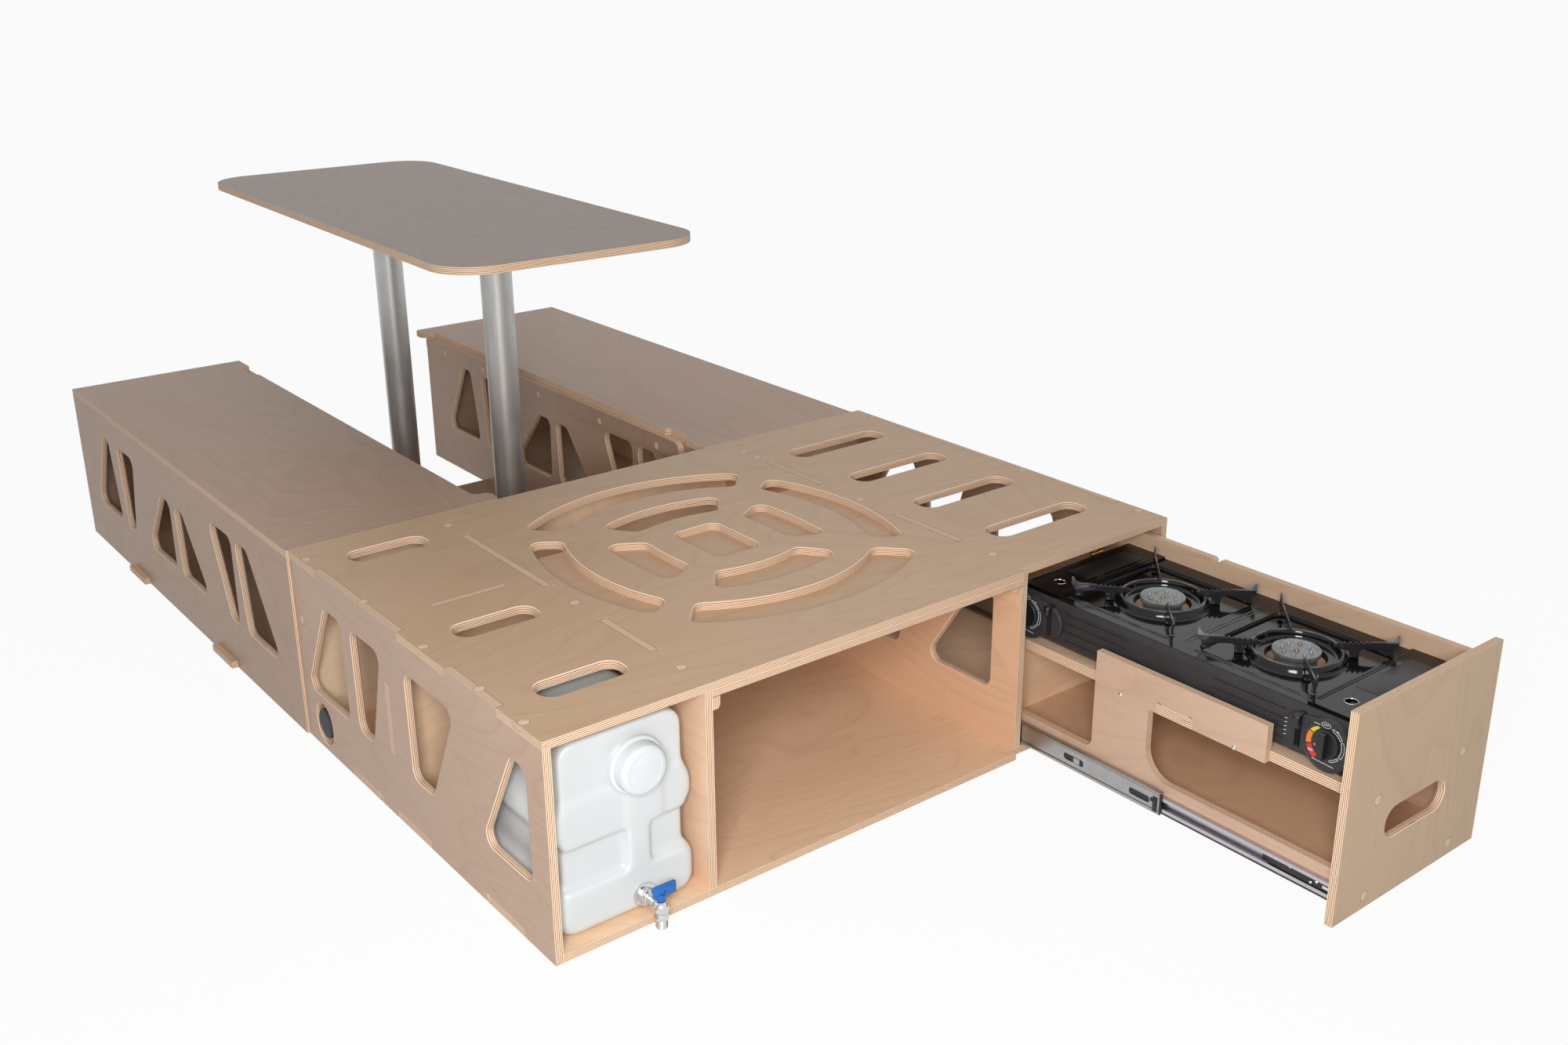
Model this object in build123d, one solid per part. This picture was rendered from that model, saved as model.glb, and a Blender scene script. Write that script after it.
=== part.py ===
from build123d import *
from math import cos, degrees, radians, sin, tau
import os

# A camping box for a van, in millimetres: a plywood kitchen box with a pulled-out
# stove drawer and a water canister, two seat boxes behind it, and a table on two
# poles between the seats. +X runs along the front, +Y back to the seats, +Z up.

# Kitchen box
ply = 12.0
box_width = 1190.0
box_depth = 794.0
box_height = 324.0
canister_bay_width = 231.0
drawer_bay_width = 318.0
canister_bay_depth = 450.0
drawer_front_zone = 350.0
running_gap = 0.3
over = 2.0
cutout_radius = 16.0
cutout_top_share = 0.812
cutout_bottom_share = 0.305
edge_ease = 3.0
kitchen_cutout_shares = (
    (0.846, 0.772, 0.770, 0.965),
    (0.723, 0.596, 0.662, 0.720),
    (0.492, 0.306, 0.414, 0.489),
    (0.109, 0.063, 0.063, 0.226),
)
divider_cutout_shares = (
    (0.846, 0.772, 0.770, 0.940),
    (0.700, 0.596, 0.640, 0.700),
    (0.460, 0.310, 0.370, 0.440),
    (0.142, 0.093, 0.093, 0.278),
)
left_tenon_shares = ((0.160, 0.326), (0.518, 0.853))
right_tenon_shares = ((0.196, 0.390), (0.632, 0.826))
side_tab_shares = ((0.145, 0.328), (0.508, 0.870))
floor_tab_shares = ((0.100, 0.240), (0.440, 0.580), (0.640, 0.780))
cross_tenon_shares = (0.30, 0.82)
side_tenon_shares = (0.333, 0.690)
relief_radius = 3.0
arch_radius = 28.0
arch_height = 68.0
arch_place_share = 0.907

# Ventilation cut-outs in the kitchen top
vent_centre_shares = (0.507, 0.510)
vent_reach_share = 1.22
vent_outer_shares = (0.423, 0.386, 0.253, 0.220)
vent_inner_shares = (0.332, 0.317, 0.166, 0.138)
vent_curve_shares = (0.492, 0.575, 0.401, 0.968)
vent_half_turn_shares = (0.119, 0.101, 0.101, 0.087)
vent_facing_shares = ((0.25, 0.75), (0.0, 0.5), (0.25, 0.75), (0.0, 0.5))
ring_step_shares = (-1.0, -0.5, 0.0, 0.5, 1.0)
vent_corner_share = 0.022
vent_window_shares = (0.116, 0.177)
slot_depth = 48.0
slot_corner = 20.0
drawer_slot_length = 208.0
drawer_slot_shares = (0.183, 0.397, 0.610, 0.827)
canister_slot_length = 128.0
canister_slot_shares = (0.150, 0.440, 0.885)

# Board stowed under the kitchen top
board_thickness = 11.0
board_depth_share = 0.68
runner_height = 18.0
runner_radius = 6.0

# Tie-down knob beside the rear corner
knob_radius = 25.0
knob_thickness = 11.0
knob_height = 47.0
knob_stud_radius = 4.0
knob_hub_radius = 9.0
knob_block = 26.0

# Seat boxes
seat_length = 1180.0
seat_width = 353.0
seat_overhang = 4.0
seat_inset = 19.0
seat_cutout_shares = (
    (0.208, 0.164, 0.072, 0.192, 0.81),
    (0.318, 0.228, 0.232, 0.263, 0.81),
    (0.482, 0.448, 0.358, 0.477, 0.715),
    (0.547, 0.507, 0.511, 0.642, 0.715),
    (0.767, 0.681, 0.721, 0.756, 0.81),
    (0.846, 0.815, 0.791, 0.921, 0.81),
)
seat_tab_shares = ((0.267, 0.350), (0.680, 0.762))
seat_tab_reach = 11.0
lid_lift_gap = 0.3
lid_horn = 29.0
lid_horn_length = 42.0
lid_horn_radius = 14.0
lid_recess = 10.0
lid_recess_shares = (0.880, 0.945)
lid_recess_radius = 4.0
lid_tail = 8.0
cleat_width = 30.0
cleat_thickness = 18.0
ledge_height = 34.0
ledge_start_share = 0.070
ledge_end_share = 0.980
ledge_radius = 15.0

# Table
table_height = 733.0
table_width = 496.0
table_length = 1207.0
table_thickness = 13.5
table_corner = 85.0
table_place_shares = (0.473, 0.484)
table_turn = 1.5
pole_place_shares = (0.475, 0.483)
pole_radius = 29.5
pole_spacing = 541.0
pole_turn = 3.2
pole_wall = 2.5
socket_depth = 42.0
socket_wall = 3.0
socket_flange_radius = 46.0
socket_flange = 5.0
collar_fit = 0.3
base_length_share = 0.7645
base_gap = 4.0

# Telescopic drawer slides
drawer_travel = 572.0
slide_length = 600.0
slide_height = 45.0
slide_middle_height = 37.0
slide_inner_height = 23.0
slide_sheet = 1.5
slide_centre_height = 35.5
slide_room = 12.7
slide_setback = 8.0
slide_play = 0.4
slide_window_length = 26.0
slide_window_height = 9.0
slide_window_shares = (0.16, 0.47)

# Drawer
drawer_length = 640.0
drawer_front_height = 317.0
drawer_front_width = 346.0
drawer_side_gap = 12.9
drawer_floor_lift = 24.0
drawer_side_lift = 14.0
drawer_rail_top = 64.0
drawer_rail_radius = 14.0
drawer_window_radius = 45.0
drawer_right_top = 300.0
drawer_left_top = 228.0
shelf_height = 186.0
shelf_thickness = 15.0
shelf_tab_shares = (0.403, 0.503)
shelf_relief_radius = 4.0
post_rear_share = 0.684
post_front_share = 0.525
arm_front_share = 0.211
notch_share = 0.698
notch_width = 12.0
notch_depth = 9.0
handle_length = 142.0
handle_height = 44.0
handle_place_share = 0.365
shelf_hole_radius = 36.0
shelf_hole_shares = (0.20, 0.50, 0.84)

# Bolt under the kitchen top that holds the drawer
bolt_radius = 2.6
bolt_length = 42.0
bolt_block = 18.0
bolt_block_height = 18.0
bolt_inset = 130.0
bolt_setback = 45.0
bolt_fit = 0.3

# Stove
stove_length = 600.0
stove_width = 262.0
stove_foot = 6.0
stove_foot_radius = 9.0
stove_height = 78.0
stove_slope = 10.0
groove_depth = 1.5
groove_width = 2.5
groove_count = 4
groove_length = 120.0
pod_reach = 9.0
pod_radius = 31.5
pod_small_radius = 25.0
pod_edge = 3.0
knob_inset = 32.0
lever_inset = 76.0
bay_length = 80.0
bay_wall = 3.0
stove_wall = 3.0
bay_setback = 25.0
pan_size = 199.4
pan_gap = 0.3
pan_corner = 16.0
pan_recess = 6.0
pan_sheet = 1.2
pan_ring_radius = 66.0
pan_ring_width = 14.0
well_radius = 44.0
burner_spacing = 240.0
burner_radius = 35.0
burner_height = 22.0
burner_rim = 5.0
burner_pins = 8
burner_pin_radius = 2.2
support_ring_radius = 84.0
support_wire = 5.0
support_arms = 4
support_sheet = 2.0
support_reach = 140.0
support_foot = 9.0
support_inner = 44.0
support_rise = 36.0
support_lift = 8.0
support_arch = 12.5
support_tip = 12.0
support_teeth = 6
tooth_depth = 2.0
stove_knob_radius = 21.0
stove_knob_depth = 15.0
stove_knob_skirt = 5.0
stove_knob_grip = 10.0
stove_knob_pin = 3.0
lever_width = 9.0
lever_height = 22.0
lever_proud = 4.0
lever_slot = 55.0
lever_depth = 9.0
lid_sheet = 3.0
lid_hole_radius = 9.0
cartridge_radius = 33.0
cartridge_length = 186.0
cartridge_neck_radius = 13.0
cartridge_neck = 12.0

# Water canister
canister_width = 212.0
canister_depth = 290.0
canister_height = 280.0
canister_inset = 18.0
canister_radius = 26.0
canister_wave = 12.0
canister_side_shares = (
    (0.0, 1.0), (0.21, 1.0), (0.28, 0.0), (0.46, 0.0),
    (0.53, 1.0), (0.62, 1.0), (0.72, 0.0), (1.0, 0.0),
)
canister_soft = 18.0
canister_relief = 12.0
canister_relief_shares = (
    (0.0, 0.505, 0.25, 0.46, 1.0),
    (0.67, 1.0, 0.25, 0.46, 1.0),
    (0.0, 0.505, 0.46, 0.71, 0.25),
    (0.76, 1.0, 0.46, 0.71, 0.25),
    (0.0, 1.0, 0.71, 1.0, 0.6),
)
canister_edge = 9.0
canister_wall = 2.5
neck_radius = 34.0
neck_length = 20.0
cap_radius = 41.0
cap_depth = 26.0
cap_collar_radius = 45.0
cap_collar = 6.0
cap_height_share = 0.80
cap_place_share = 0.57
tap_place_share = 0.60
tap_height = 24.0
tap_hex = 26.0
tap_flange = 5.0
tap_reach = 40.0
tap_body_radius = 8.5
tap_spout_radius = 10.5
tap_spout_length = 30.0
tap_lever_length = 46.0
tap_lever_width = 15.0
tap_lever_thickness = 5.0
tap_stem_radius = 3.2
tap_stem_height = 12.0


def block(x0, x1, y0, y1, z0, z1):
    """A box between two corners."""
    centre = Pos((x0 + x1) / 2, (y0 + y1) / 2, (z0 + z1) / 2)
    return centre * Box(x1 - x0, y1 - y0, z1 - z0)


def along_x(sketch, x0, depth):
    """A sketch in Y and Z pushed along +X from x0."""
    return extrude(Plane.YZ.offset(x0) * sketch, depth, dir=(1, 0, 0))


def along_y(sketch, y0, depth):
    """A sketch in X and Z pushed along +Y from y0."""
    return extrude(Plane.XZ.offset(-y0) * sketch, depth, dir=(0, 1, 0))


def along_z(sketch, z0, depth):
    """A sketch in X and Y pushed along +Z from z0."""
    return extrude(Plane.XY.offset(z0) * sketch, depth, dir=(0, 0, 1))


def eased(panel, axis, ends):
    """A panel whose round-cornered openings have softened edges on its end faces."""
    flat = panel.faces().filter_by(axis).sort_by(axis)
    edges = []
    for end in ends:
        for wire in flat[end].inner_wires():
            size = wire.bounding_box().size
            if sorted((size.X, size.Y, size.Z))[1] > ply * 2:
                edges.extend(wire.edges())
    return chamfer(edges, edge_ease)


def rounded(points, radius):
    """A polygon with all its corners rounded."""
    shape = Polygon(*points, align=None)
    return fillet(shape.vertices(), radius)


def share_span(low, size, shares):
    """The two places that a pair of shares picks along a size."""
    return low + size * shares[0], low + size * shares[1]


def cutouts(shares, low, length, top_share=cutout_top_share):
    """The rounded four-sided side cut-outs, as sketches in Y and Z."""
    sketches = []
    for row in shares:
        top = box_height * (row[4] if len(row) > 4 else top_share)
        bottom = box_height * cutout_bottom_share
        heights = (top, top, bottom, bottom)
        points = [(low + length * y, z) for y, z in zip(row, heights)]
        sketches.append(rounded(points, cutout_radius))
    return sketches


# Places that several pieces share
box_top = box_height
plate_under = box_height - ply
canister_bay_right = ply + canister_bay_width
right_divider_left = box_width - ply - drawer_bay_width - ply
right_divider_right = right_divider_left + ply
drawer_zone_left = box_width - drawer_front_zone
right_bay_wall = box_width - ply
back_wall = box_depth - ply
bay_back = canister_bay_depth
canister_middle = (ply + canister_bay_right) / 2
drawer_middle = (right_divider_right + right_bay_wall) / 2
vent_left = canister_bay_right + ply
vent_right = right_divider_left
vent_room = min((vent_right - vent_left) * vent_reach_share, box_depth)


def relief_pair(x, y0, y1):
    """Cutter reliefs at both ends of a tenon slot that runs along Y."""
    cuts = []
    for y in (y0, y1):
        for side in (x, x + ply):
            cuts.append(Pos(side, y, plate_under) * Cylinder(relief_radius, ply * over))
    return cuts


def kitchen_floor():
    """Bottom plate with tabs into the side panels, set back under the drawer front."""
    plate = block(ply, box_width - ply, 0, box_depth, 0, ply)
    plate -= block(drawer_zone_left, box_width, 0, ply, 0, ply)
    tabs = []
    for shares in floor_tab_shares:
        y0, y1 = share_span(0, box_depth, shares)
        tabs.append(block(0, ply, y0, y1, 0, ply))
        tabs.append(block(box_width - ply, box_width, y0, y1, 0, ply))
    return plate + tabs


def ring_slot(centre, facing, half_turn, outer, inner, curve):
    """One curved ventilation slot as a sketch, its middle facing a share of a full turn."""
    ring = Circle(curve) - Circle(curve - (outer - inner))
    wedge = [(0, 0)]
    for share in ring_step_shares:
        angle = tau * half_turn * share
        wedge.append((curve * over * cos(angle), curve * over * sin(angle)))
    slot = (Pos(outer - curve, 0) * ring) & Polygon(*wedge, align=None)
    slot = fillet(slot.vertices(), vent_room * vent_corner_share)
    return Pos(*centre) * Rot(0, 0, degrees(tau * facing)) * slot


def kitchen_top():
    """Top plate with vents, grip slots, tenon slots and finger joints at its ends."""
    plate = block(0, box_width, 0, box_depth, plate_under, box_top)
    plate -= block(drawer_zone_left, box_width, 0, ply, plate_under, box_top)
    along, across = vent_centre_shares
    centre = (vent_left + (vent_right - vent_left) * along, box_depth * across)
    sketches = []
    rows = (vent_outer_shares, vent_inner_shares, vent_curve_shares)
    for half_turn, facings, *shares in zip(vent_half_turn_shares, vent_facing_shares, *rows):
        outer, inner, curve = (vent_room * share for share in shares)
        sketches.extend(ring_slot(centre, facing, half_turn, outer, inner, curve) for facing in facings)
    width, depth = (vent_room * share for share in vent_window_shares)
    window = RectangleRounded(width, depth, vent_room * vent_corner_share)
    sketches.append(Pos(*centre) * window)
    for share in drawer_slot_shares:
        slot = RectangleRounded(drawer_slot_length, slot_depth, slot_corner)
        sketches.append(Pos(drawer_middle, box_depth * share) * slot)
    for share in canister_slot_shares:
        slot = RectangleRounded(canister_slot_length, slot_depth, slot_corner)
        sketches.append(Pos(canister_middle, box_depth * share) * slot)
    cuts = [along_z(sketch, plate_under, ply) for sketch in sketches]
    rows = ((canister_bay_right, left_tenon_shares), (right_divider_left, right_tenon_shares))
    for x, row in rows:
        for shares in row:
            y0, y1 = share_span(0, box_depth, shares)
            cuts.append(block(x, x + ply, y0, y1, plate_under, box_top))
            cuts.extend(relief_pair(x, y0, y1))
    x0, x1 = share_span(ply, canister_bay_width, cross_tenon_shares)
    cuts.append(block(x0, x1, bay_back, bay_back + ply, plate_under, box_top))
    for shares in side_tab_shares:
        y0, y1 = share_span(0, box_depth, shares)
        cuts.append(block(0, ply, y0, y1, plate_under, box_top))
        cuts.append(block(right_bay_wall, box_width, y0, y1, plate_under, box_top))
    return eased(plate - cuts, Axis.Z, [-1])


def kitchen_side(x, front):
    """A side panel with finger tabs up through the top plate."""
    panel = block(x, x + ply, front, box_depth, 0, plate_under)
    tabs = []
    for shares in side_tab_shares:
        y0, y1 = share_span(0, box_depth, shares)
        tabs.append(block(x, x + ply, y0, y1, plate_under, box_top))
    panel += tabs
    cuts = [along_x(sketch, x, ply) for sketch in cutouts(kitchen_cutout_shares, 0, box_depth)]
    for shares in floor_tab_shares:
        y0, y1 = share_span(0, box_depth, shares)
        cuts.append(block(x, x + ply, y0, y1, 0, ply))
    return panel - cuts


def kitchen_left_side():
    """Left side panel, with the knob opening and the slot for the cross wall's tenon."""
    panel = kitchen_side(0, 0)
    arch = SlotOverall(arch_height, arch_radius * 2, rotation=90)
    arch_middle = ply + arch_height / 2
    arch_at = Pos(box_depth * arch_place_share, arch_middle)
    z0, z1 = share_span(0, box_height, side_tenon_shares)
    cuts = [along_x(arch_at * arch, 0, ply)]
    cuts.append(block(0, ply, bay_back, bay_back + ply, z0, z1))
    return eased(panel - cuts, Axis.X, [0, -1])


def kitchen_right_side():
    """Right side panel, set back behind the drawer front."""
    return eased(kitchen_side(right_bay_wall, ply), Axis.X, [0, -1])


def divider(x, front, row):
    """An upright divider with two tenons up through the top plate."""
    panel = block(x, x + ply, front, back_wall, ply, plate_under)
    tenons = []
    for shares in row:
        y0, y1 = share_span(0, box_depth, shares)
        tenons.append(block(x, x + ply, y0, y1, plate_under, box_top))
    return panel + tenons


def left_divider():
    """Wall between the canister bay and the open bay."""
    return divider(canister_bay_right, 0, left_tenon_shares)


def right_divider():
    """Wall between the open bay and the drawer bay, with its cut-outs."""
    panel = divider(right_divider_left, ply, right_tenon_shares)
    sketches = cutouts(divider_cutout_shares, 0, box_depth)
    panel -= [along_x(sketch, right_divider_left, ply) for sketch in sketches]
    return eased(panel, Axis.X, [0, -1])


def kitchen_back():
    """Rear panel between the side panels."""
    return block(ply, right_bay_wall, back_wall, box_depth, ply, plate_under)


def canister_bay_back():
    """Cross wall behind the canister, with tenons into the top and the left side."""
    wall = block(ply, canister_bay_right, bay_back, bay_back + ply, ply, plate_under)
    x0, x1 = share_span(ply, canister_bay_width, cross_tenon_shares)
    z0, z1 = share_span(0, box_height, side_tenon_shares)
    top_tenon = block(x0, x1, bay_back, bay_back + ply, plate_under, box_top)
    side_tenon = block(0, ply, bay_back, bay_back + ply, z0, z1)
    return wall + top_tenon + side_tenon


# Pull-out board
board_left = canister_bay_right + ply + running_gap
board_right = drawer_zone_left - running_gap
board_top = plate_under - running_gap
board_under = board_top - board_thickness
board_end = box_depth * board_depth_share


def stowed_board():
    """Board under the kitchen top that pulls out forwards, with a rounded front edge."""
    board = block(board_left, board_right, 0, board_end, board_under, board_top)
    front = board.faces().sort_by(Axis.Y)[0].edges().filter_by(Axis.X)
    return fillet(front, board_thickness / 4)


def board_runners():
    """Two battens along the dividers that carry the board."""
    top = board_under - running_gap
    runners = []
    for wall, inward, front in ((canister_bay_right + ply, 1, 0), (right_divider_left, -1, ply)):
        x0, x1 = sorted((wall, wall + inward * ply))
        runner = block(x0, x1, front + running_gap, board_end, top - runner_height, top)
        lower = runner.edges().filter_by(Axis.Y).group_by(Axis.Z)[0].sort_by(Axis.X)
        runners.append(fillet(lower[-1] if inward > 0 else lower[0], runner_radius))
    return Compound(runners)


# Tie-down knob
knob_y = box_depth * arch_place_share
knob_z = knob_height
knob_stud_end = ply + knob_block


def tie_down_knob():
    """Round hand knob on its stud, turned about X."""
    at = Pos(0, knob_y, knob_z) * Rotation(0, 90, 0)
    disc = Cylinder(knob_radius, knob_thickness, align=(Align.CENTER, Align.CENTER, Align.MIN))
    disc = fillet(disc.edges().filter_by(GeomType.CIRCLE), knob_thickness / 4)
    hub = Cylinder(knob_hub_radius, ply, align=(Align.CENTER, Align.CENTER, Align.MIN))
    stud = Cylinder(knob_stud_radius, knob_stud_end, align=(Align.CENTER, Align.CENTER, Align.MIN))
    return at * (disc + hub + stud)


def tie_down_block():
    """Wooden block inside the corner that the knob's stud screws into."""
    half = knob_block / 2
    x0 = ply + running_gap
    body = block(x0, x0 + knob_block, knob_y - half, back_wall, ply, knob_z + half)
    hole_radius = knob_stud_radius + bolt_fit
    hole = Pos(0, knob_y, knob_z) * Rotation(0, 90, 0) * Cylinder(hole_radius, box_depth)
    return body - hole


# Seat boxes
seat_front = box_depth
seat_back = box_depth + seat_length
left_seat_outer = -seat_overhang
right_seat_outer = box_width - seat_inset


def seat_places(side):
    """Outer face, inner face and inward direction of one seat box."""
    if side == "left":
        return left_seat_outer, left_seat_outer + seat_width, 1
    return right_seat_outer, right_seat_outer - seat_width, -1


def seat_panel(face, inward, cut_tabs):
    """A long seat wall whose face is at one X and whose thickness runs inward."""
    low, high = sorted((face, face + inward * ply))
    panel = block(low, high, seat_front, seat_back, 0, plate_under)
    sketches = cutouts(seat_cutout_shares, seat_front, seat_length)
    cuts = [along_x(sketch, low, ply) for sketch in sketches]
    if cut_tabs:
        for shares in seat_tab_shares:
            y0, y1 = share_span(seat_front, seat_length, shares)
            cuts.append(block(low, high, y0, y1, 0, ply))
    return eased(panel - cuts, Axis.X, [0, -1])


def seat_outer_side(side):
    """Outer long wall of a seat box, notched for the floor's tabs."""
    outer, inner, inward = seat_places(side)
    return seat_panel(outer, inward, True)


def seat_inner_side(side):
    """Inner long wall of a seat box."""
    outer, inner, inward = seat_places(side)
    return seat_panel(inner, -inward, False)


def seat_ends(side):
    """Front and rear end walls of a seat box."""
    outer, inner, inward = seat_places(side)
    low, high = sorted((outer + inward * ply, inner - inward * ply))
    front = block(low, high, seat_front, seat_front + ply, 0, plate_under)
    rear = block(low, high, seat_back - ply, seat_back, 0, plate_under)
    return Compound([front, rear])


def seat_floor(side):
    """Floor of a seat box, with tabs that reach out past the outer wall."""
    outer, inner, inward = seat_places(side)
    low, high = sorted((outer + inward * ply, inner - inward * ply))
    plate = block(low, high, seat_front + ply, seat_back - ply, 0, ply)
    for shares in seat_tab_shares:
        y0, y1 = share_span(seat_front, seat_length, shares)
        x0, x1 = sorted((outer - inward * seat_tab_reach, outer + inward * ply))
        plate += block(x0, x1, y0, y1, 0, ply)
    return plate


def seat_lid(side):
    """Lift-off lid; the same board serves both seats, turned end for end."""
    outer, inner, inward = seat_places(side)
    near = seat_front + running_gap
    start, run = (near, 1) if side == "left" else (seat_back, -1)
    length = seat_back - near
    recess_start, recess_end = share_span(0, length, lid_recess_shares)
    outline = [
        (0, lid_horn), (lid_horn_length, lid_horn), (lid_horn_length, 0), (recess_start, 0),
        (recess_start, -lid_recess), (recess_end, -lid_recess), (recess_end, lid_tail),
        (length, lid_tail),
    ]
    points = [(inner + inward * across, start + run * along) for along, across in outline]
    points.extend([(outer, start + run * length), (outer, start)])
    shape = Polygon(*points, align=None)
    horn_ends = (start + run * lid_horn_length, start)
    horn = [v for v in shape.vertices() if v.Y in horn_ends and abs(v.X - outer) > seat_width / 2]
    shape = fillet(horn, lid_horn_radius)
    recess_ends = (start + run * recess_start, start + run * recess_end)
    recess = [v for v in shape.vertices() if v.Y in recess_ends]
    shape = fillet(recess, lid_recess_radius)
    return along_z(shape, plate_under + lid_lift_gap, ply)


def seat_lid_cleats(side):
    """Two cleats under a lid that drop between the seat walls."""
    outer, inner, inward = seat_places(side)
    gap = ply + running_gap
    low, high = sorted((outer + inward * gap, inner - inward * gap))
    top = plate_under + lid_lift_gap
    cleats = []
    for y in (seat_front + gap, seat_back - gap - cleat_width):
        cleats.append(block(low, high, y, y + cleat_width, top - cleat_thickness, top))
    return Compound(cleats)


def seat_ledge(side):
    """Batten along the inner wall that carries an infill board."""
    outer, inner, inward = seat_places(side)
    low = min(inner, inner + inward * ply)
    y0, y1 = share_span(seat_front, seat_length, (ledge_start_share, ledge_end_share))
    bottom = plate_under - ledge_height
    points = [(y0, bottom), (y1, bottom), (y1, plate_under), (y0, plate_under)]
    return along_x(rounded(points, ledge_radius), low, ply)


# Table
table_under = table_height - table_thickness
base_front = box_depth + base_gap
base_left = left_seat_outer + seat_width + running_gap
base_right = right_seat_outer - seat_width - running_gap
socket_outer = pole_radius + collar_fit + socket_wall
pole_bottom = ply + socket_flange + running_gap
pole_top = table_under - socket_flange - running_gap
base_length = seat_length * base_length_share
pole_half = pole_spacing / 2
pole_shift = (pole_half * sin(radians(pole_turn)), pole_half * cos(radians(pole_turn)))


def aisle_place(shares):
    """A place between the seat boxes, as shares of the aisle's width and length."""
    x = base_left + (base_right - base_left) * shares[0]
    return x, seat_front + seat_length * shares[1]


pole_middle = aisle_place(pole_place_shares)
pole_places = (
    (pole_middle[0] - pole_shift[0], pole_middle[1] - pole_shift[1]),
    (pole_middle[0] + pole_shift[0], pole_middle[1] + pole_shift[1]),
)


def table_top():
    """Plywood table top with large rounded corners."""
    outline = RectangleRounded(table_width, table_length, table_corner)
    turned = Pos(*aisle_place(table_place_shares)) * Rotation(0, 0, -table_turn) * outline
    return along_z(turned, table_under, table_thickness)


def pole(place):
    """One tube between the table top and the base plate."""
    tube = Circle(pole_radius) - Circle(pole_radius - pole_wall)
    return along_z(Pos(*place) * tube, pole_bottom, pole_top - pole_bottom)


def socket(place, face, up):
    """A flanged cup that a pole end fits; up is 1 on the floor and -1 under the table."""
    bore = pole_radius + collar_fit
    reach = socket_flange + socket_depth
    low = min(face, face + up * socket_flange)
    flange = along_z(Pos(*place) * Circle(socket_flange_radius), low, socket_flange)
    low = min(face, face + up * reach)
    collar = along_z(Pos(*place) * Circle(socket_outer), low, reach)
    mouth = face + up * socket_flange
    low = min(mouth, mouth + up * socket_depth)
    return flange + collar - along_z(Pos(*place) * Circle(bore), low, socket_depth)


def table_base_sockets():
    """The two floor sockets."""
    return Compound([socket(place, ply, 1) for place in pole_places])


def table_top_sockets():
    """The two sockets under the table top."""
    return Compound([socket(place, table_under, -1) for place in pole_places])


def table_base_plate():
    """Plate on the floor between the seat boxes."""
    return block(base_left, base_right, base_front, base_front + base_length, 0, ply)


# Drawer places, drawn out
drawer_front_face = -drawer_travel
drawer_front_back = drawer_front_face + ply
drawer_left = right_divider_right + drawer_side_gap
drawer_right = right_bay_wall - drawer_side_gap
drawer_end = drawer_front_back + drawer_length
drawer_inner_left = drawer_left + ply
drawer_inner_right = drawer_right - ply
front_left = box_width - (drawer_front_zone + drawer_front_width) / 2
front_bottom = running_gap * 2
shelf_under = shelf_height - shelf_thickness
slide_middle_shift = drawer_travel / 2
slide_rest = ply + slide_setback


def channel(depth, height, lip, length):
    """A C-shaped rolled channel along +Y, open towards +X, centred on its height."""
    half = height / 2
    sheet = slide_sheet
    points = [
        (0, -half), (depth, -half), (depth, -half + lip), (depth - sheet, -half + lip),
        (depth - sheet, sheet - half), (sheet, sheet - half), (sheet, half - sheet),
        (depth - sheet, half - sheet), (depth - sheet, half - lip), (depth, half - lip),
        (depth, half), (0, half),
    ]
    return along_y(Polygon(*points, align=None), 0, length)


def slide_member(part, side):
    """Outer, middle or inner member of the left or right slide, drawn out."""
    step = slide_sheet + slide_play
    depths = (slide_room - step, slide_room - step * 2, slide_room - step * 2)
    heights = (slide_height, slide_middle_height, slide_inner_height, slide_inner_height / 2)
    shifts = (0, slide_middle_shift, drawer_travel)
    lip = (heights[part] - heights[part + 1]) / 2 - slide_play
    profile = channel(depths[part], heights[part], lip, slide_length)
    if part == 1:
        for share in slide_window_shares:
            y = slide_length * share
            window = block(-over, slide_sheet + over, y, y + slide_window_length,
                           -slide_window_height / 2, slide_window_height / 2)
            profile -= window
    y = slide_rest - shifts[part]
    if part == 2:
        profile = profile.mirror(Plane.YZ)
        x = drawer_left
    else:
        x = right_divider_right + step * part
    placed = Pos(x, y, slide_centre_height) * profile
    if side == "right":
        placed = placed.mirror(Plane.YZ.offset(drawer_middle))
    return placed


def drawer_front():
    """Front panel with its grip slot."""
    right = front_left + drawer_front_width
    top = front_bottom + drawer_front_height
    panel = block(front_left, right, drawer_front_face, drawer_front_back, front_bottom, top)
    grip = RectangleRounded(handle_length, handle_height, handle_height / 2 - running_gap)
    at = Pos((front_left + right) / 2, front_bottom + drawer_front_height * handle_place_share)
    return eased(panel - along_y(at * grip, drawer_front_face, ply), Axis.Y, [0, -1])


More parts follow.
